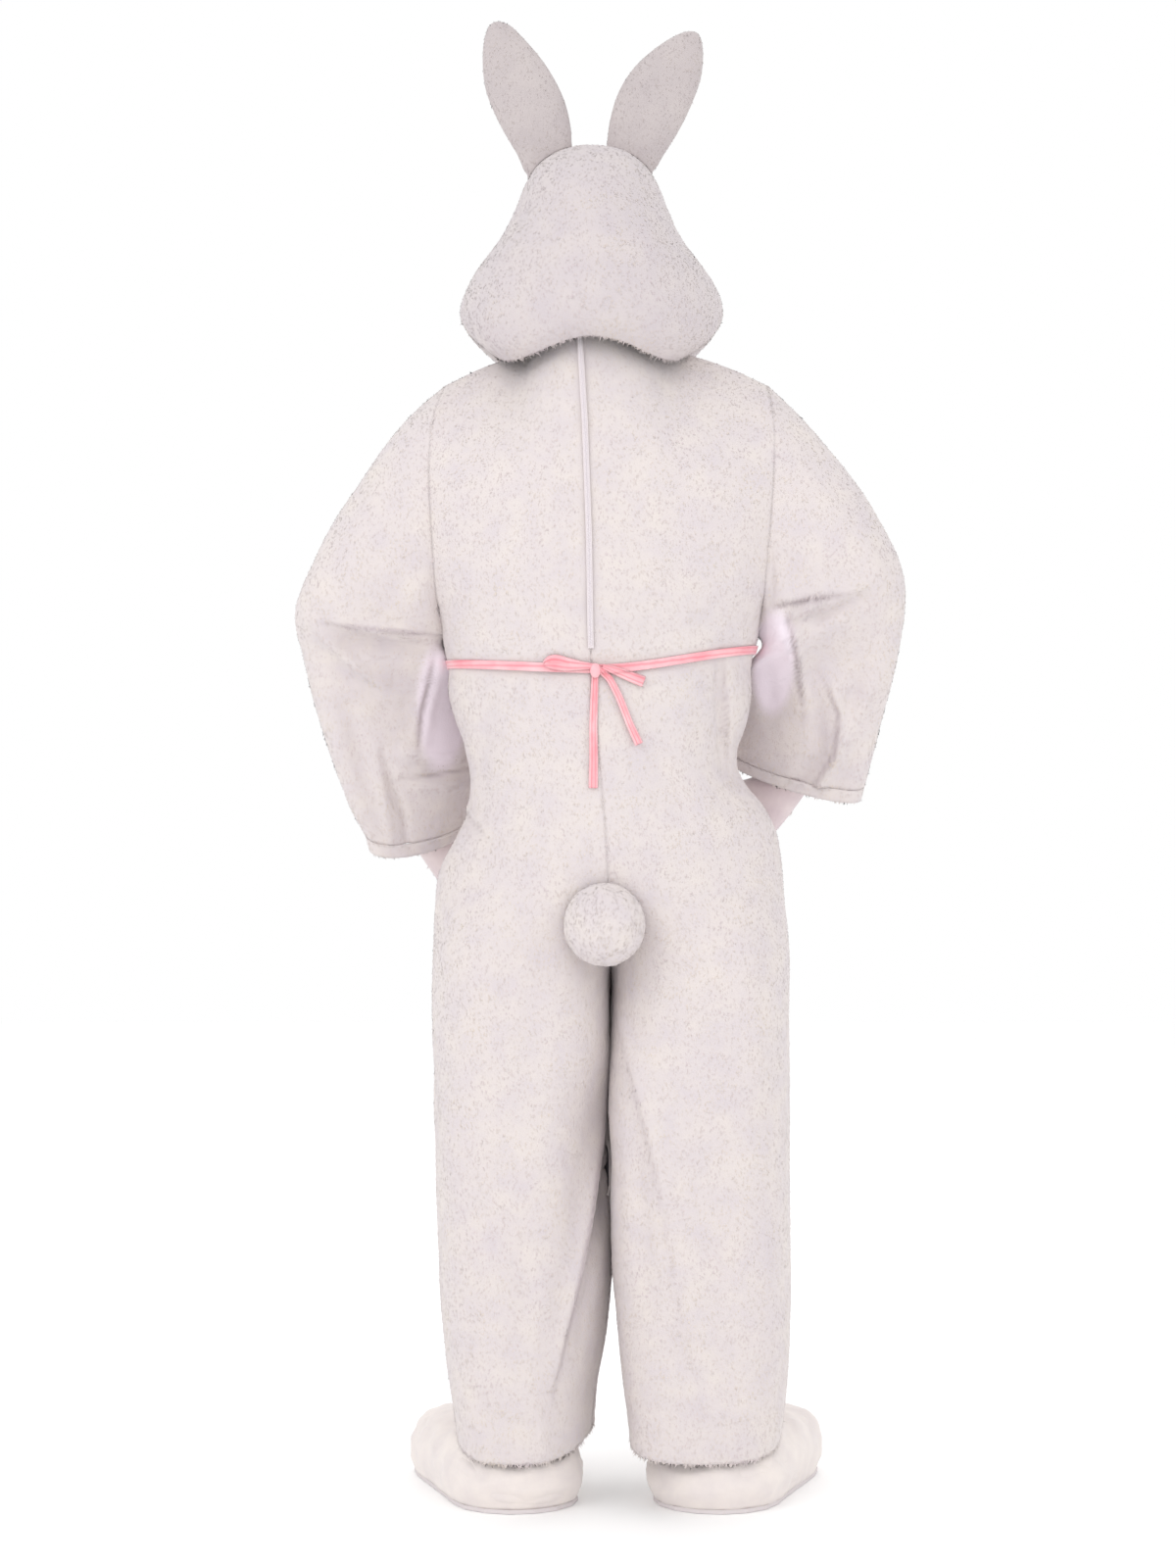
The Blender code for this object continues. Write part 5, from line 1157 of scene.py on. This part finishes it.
def lay_ribbon(node, tree):
    """A creased satin ribbon laid over the back along its row of points, with a thin wall."""
    row = np.array(RIBBONS[node])
    runs = np.concatenate(((0.0,), np.cumsum(np.linalg.norm(np.diff(row[:, :2], axis=0), axis=1))))
    steps = max(8, int(runs[-1] / RIBBON_STEP))
    at = np.linspace(0, runs[-1], steps + 1)
    middle = np.stack([np.interp(at, runs, row[:, i]) for i in range(3)], axis=1)
    for _ in range(6):
        middle[1:-1] = (middle[:-2] + 2 * middle[1:-1] + middle[2:]) / 4
    way = unit(np.gradient(middle[:, :2], axis=0))
    bm = bmesh.new()
    bmesh.ops.create_grid(bm, x_segments=steps, y_segments=RIBBON_ACROSS, size=1.0)
    bm.verts.ensure_lookup_table()
    across = []
    for vert in bm.verts:
        i = min(steps, int(round((vert.co.x + 1) / 2 * steps)))
        share = (vert.co.y + 1) / 2
        side = (share - 0.5) * 2 * middle[i, 2]
        x = middle[i, 0] - way[i, 1] * side
        level = middle[i, 1] + way[i, 0] * side + FLOOR
        found = [tree.ray_cast(Vector((x + aside, -0.5, level)), Vector((0, 1, 0)))[0]
                 for aside in (-0.004, 0.0, 0.004)]
        depth = min(place.y for place in found if place is not None and place.y < -0.05)
        crease = 0.0011 * math.sin(share * 3.2 * math.pi + 0.6) + 0.0005 * math.sin(at[i] * 260 + share * 4)
        puff = 0.0030 * math.sin(math.pi * share) if node.startswith("bow_loop") else 0.0010
        vert.co = (x, depth - RIBBON_LIFT[node] - 0.0010 - crease - puff, level)
        across.append(share)
    mesh = mesh_from(bm, "satin_" + node)
    mark_points(mesh, "across", across)
    for polygon in mesh.polygons:
        polygon.use_smooth = True
    mesh.materials.append(finish("ribbon satin"))
    obj = placed("satin_" + node, mesh)
    step = obj.modifiers.new("wall", "SOLIDIFY")
    step.thickness = RIBBON_WALL
    step.offset = 0.0
    wear(obj, node)


def mark_across(mesh):
    """Marks how far up the waist ribbon's width each point lies, by the points beside it."""
    points = points_of(mesh)
    tops = np.zeros(len(points))
    order = np.argsort(points[:, 0])
    for start in range(0, len(order), 60):
        part = order[max(0, start - 30):start + 90]
        here = order[start:start + 60]
        lowest, highest = points[part, 2].min(), points[part, 2].max()
        tops[here] = np.clip((points[here, 2] - lowest) / max(1e-6, highest - lowest), 0, 1)
    mark_points(mesh, "across", tops)


class COSTUME_OT_zip(bpy.types.Operator):
    """Sews the zip's coil along the middle of its tape"""
    bl_idname = "costume.zip"
    bl_label = "Zip coil"

    def execute(self, context):
        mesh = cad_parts["zip_tape"].data
        tape, tree = points_of(mesh), tree_of(mesh)
        low = tape[:, 2].min() + 0.004
        high = min(tape[:, 2].max() - 0.004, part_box("zip_slider")[0][2] - 0.001)
        levels = np.linspace(tape[:, 2].min(), tape[:, 2].max(), 40)
        middles = []
        for level in levels:
            near = tape[np.abs(tape[:, 2] - level) < 0.014]
            middles.append((near[:, 0].min() + near[:, 0].max()) / 2 if len(near) else np.nan)
        middles = np.array(middles)
        middles = np.interp(levels, levels[~np.isnan(middles)], middles[~np.isnan(middles)])
        middles = np.convolve(np.pad(middles, 4, mode="edge"), np.ones(9) / 9, mode="valid")
        bm = bmesh.new()
        for i in range(int((high - low) / COIL_PITCH)):
            level = low + i * COIL_PITCH
            x = float(np.interp(level, levels, middles))
            hit = tree.ray_cast(Vector((x, -0.4, level)), Vector((0, 1, 0)))
            if hit[0] is None:
                continue
            for way in (-1, 1):
                shift = Vector((way * COIL_WIDTH / 4, -0.0004, way * COIL_PITCH / 4))
                place = Matrix.Translation(hit[0] + shift)
                turn = Matrix.Rotation(math.radians(18 * way), 4, "Y")
                size = Matrix.Diagonal((COIL_WIDTH * 0.34, 0.0006, COIL_PITCH * 0.40, 1))
                bmesh.ops.create_icosphere(bm, subdivisions=1, radius=1.0, matrix=place @ turn @ size)
        coil = placed("zip_coil", mesh_from(bm, "zip_coil"))
        coil.data.materials.append(finish("coil"))
        wear(coil)
        return {"FINISHED"}


class COSTUME_OT_stage(bpy.types.Operator):
    """Lays the floor and sets the light and the camera"""
    bl_idname = "costume.stage"
    bl_label = "Stage"

    def execute(self, context):
        bm = bmesh.new()
        bmesh.ops.create_grid(bm, x_segments=2, y_segments=2, size=6.0)
        bmesh.ops.translate(bm, vec=(0, 2.0, FLOOR - 0.0005), verts=bm.verts)
        floor = placed("floor", mesh_from(bm, "floor"))
        look = {"Base Color": linear("#FFFFFF"), "Roughness": 0.9}
        floor.data.materials.append(new_material("pale floor", look)[0])
        world = bpy.data.worlds.new("studio")
        context.scene.world = world
        world.use_nodes = True
        dome = world.node_tree.nodes["Background"]
        dome.inputs["Color"].default_value = (1, 1, 1, 1)
        dome.inputs["Strength"].default_value = 1.0
        context.scene.view_settings.view_transform = "Standard"
        for name, place, size, power in (
                ("key", (-2.4, -2.6, 1.6), 2.0, 26.0),
                ("front", (0.3, -4.2, 0.2), 3.0, 18.0),
                ("fill", (2.6, -2.6, 0.4), 2.4, 8.0),
                ("far side", (0.6, 3.8, 0.6), 3.0, 30.0)):
            light = bpy.data.lights.new(name, "AREA")
            light.energy = power
            light.size = size
            lamp = placed(name, light)
            lamp.location = place
            aim = Vector((0, 0, -0.5)) - Vector(place)
            lamp.rotation_euler = aim.to_track_quat("-Z", "Y").to_euler()
        camera = bpy.data.cameras.new("camera")
        camera.sensor_fit = "VERTICAL"
        camera.sensor_height = 36
        camera.lens = 72
        view = placed("camera", camera)
        view.location = (-0.015, -4.0, -0.533)
        view.rotation_euler = (math.pi / 2, 0, 0)
        context.scene.camera = view
        return {"FINISHED"}


class COSTUME_PT_panel(bpy.types.Panel):
    """Steps that dress the costume"""
    bl_label = "Rabbit costume"
    bl_space_type = "VIEW_3D"
    bl_region_type = "UI"
    bl_category = "Rabbit costume"

    def draw(self, context):
        sizes = context.scene.costume_sizes
        self.layout.prop(sizes, "pile_length")
        self.layout.prop(sizes, "pile_count")
        colours = context.scene.costume_colours
        for name in colours.__annotations__:
            self.layout.prop(colours, name)
        for step in STEPS:
            self.layout.operator(step.bl_idname)


STEPS = (COSTUME_OT_suit, COSTUME_OT_head, COSTUME_OT_stuffed, COSTUME_OT_trims, COSTUME_OT_zip,
         COSTUME_OT_stage)
CLASSES = (CostumeSizes, CostumeColours, *STEPS, COSTUME_PT_panel)


def register():
    for kind in CLASSES:
        bpy.utils.register_class(kind)
    bpy.types.Scene.costume_sizes = bpy.props.PointerProperty(type=CostumeSizes)
    bpy.types.Scene.costume_colours = bpy.props.PointerProperty(type=CostumeColours)


def unregister():
    del bpy.types.Scene.costume_colours
    del bpy.types.Scene.costume_sizes
    for kind in reversed(CLASSES):
        bpy.utils.unregister_class(kind)


def main():
    register()
    bpy.ops.costume.suit()
    bpy.ops.costume.head()
    bpy.ops.costume.stuffed()
    bpy.ops.costume.trims()
    bpy.ops.costume.zip()
    bpy.ops.costume.stage()


if __name__ == "__main__":
    main()
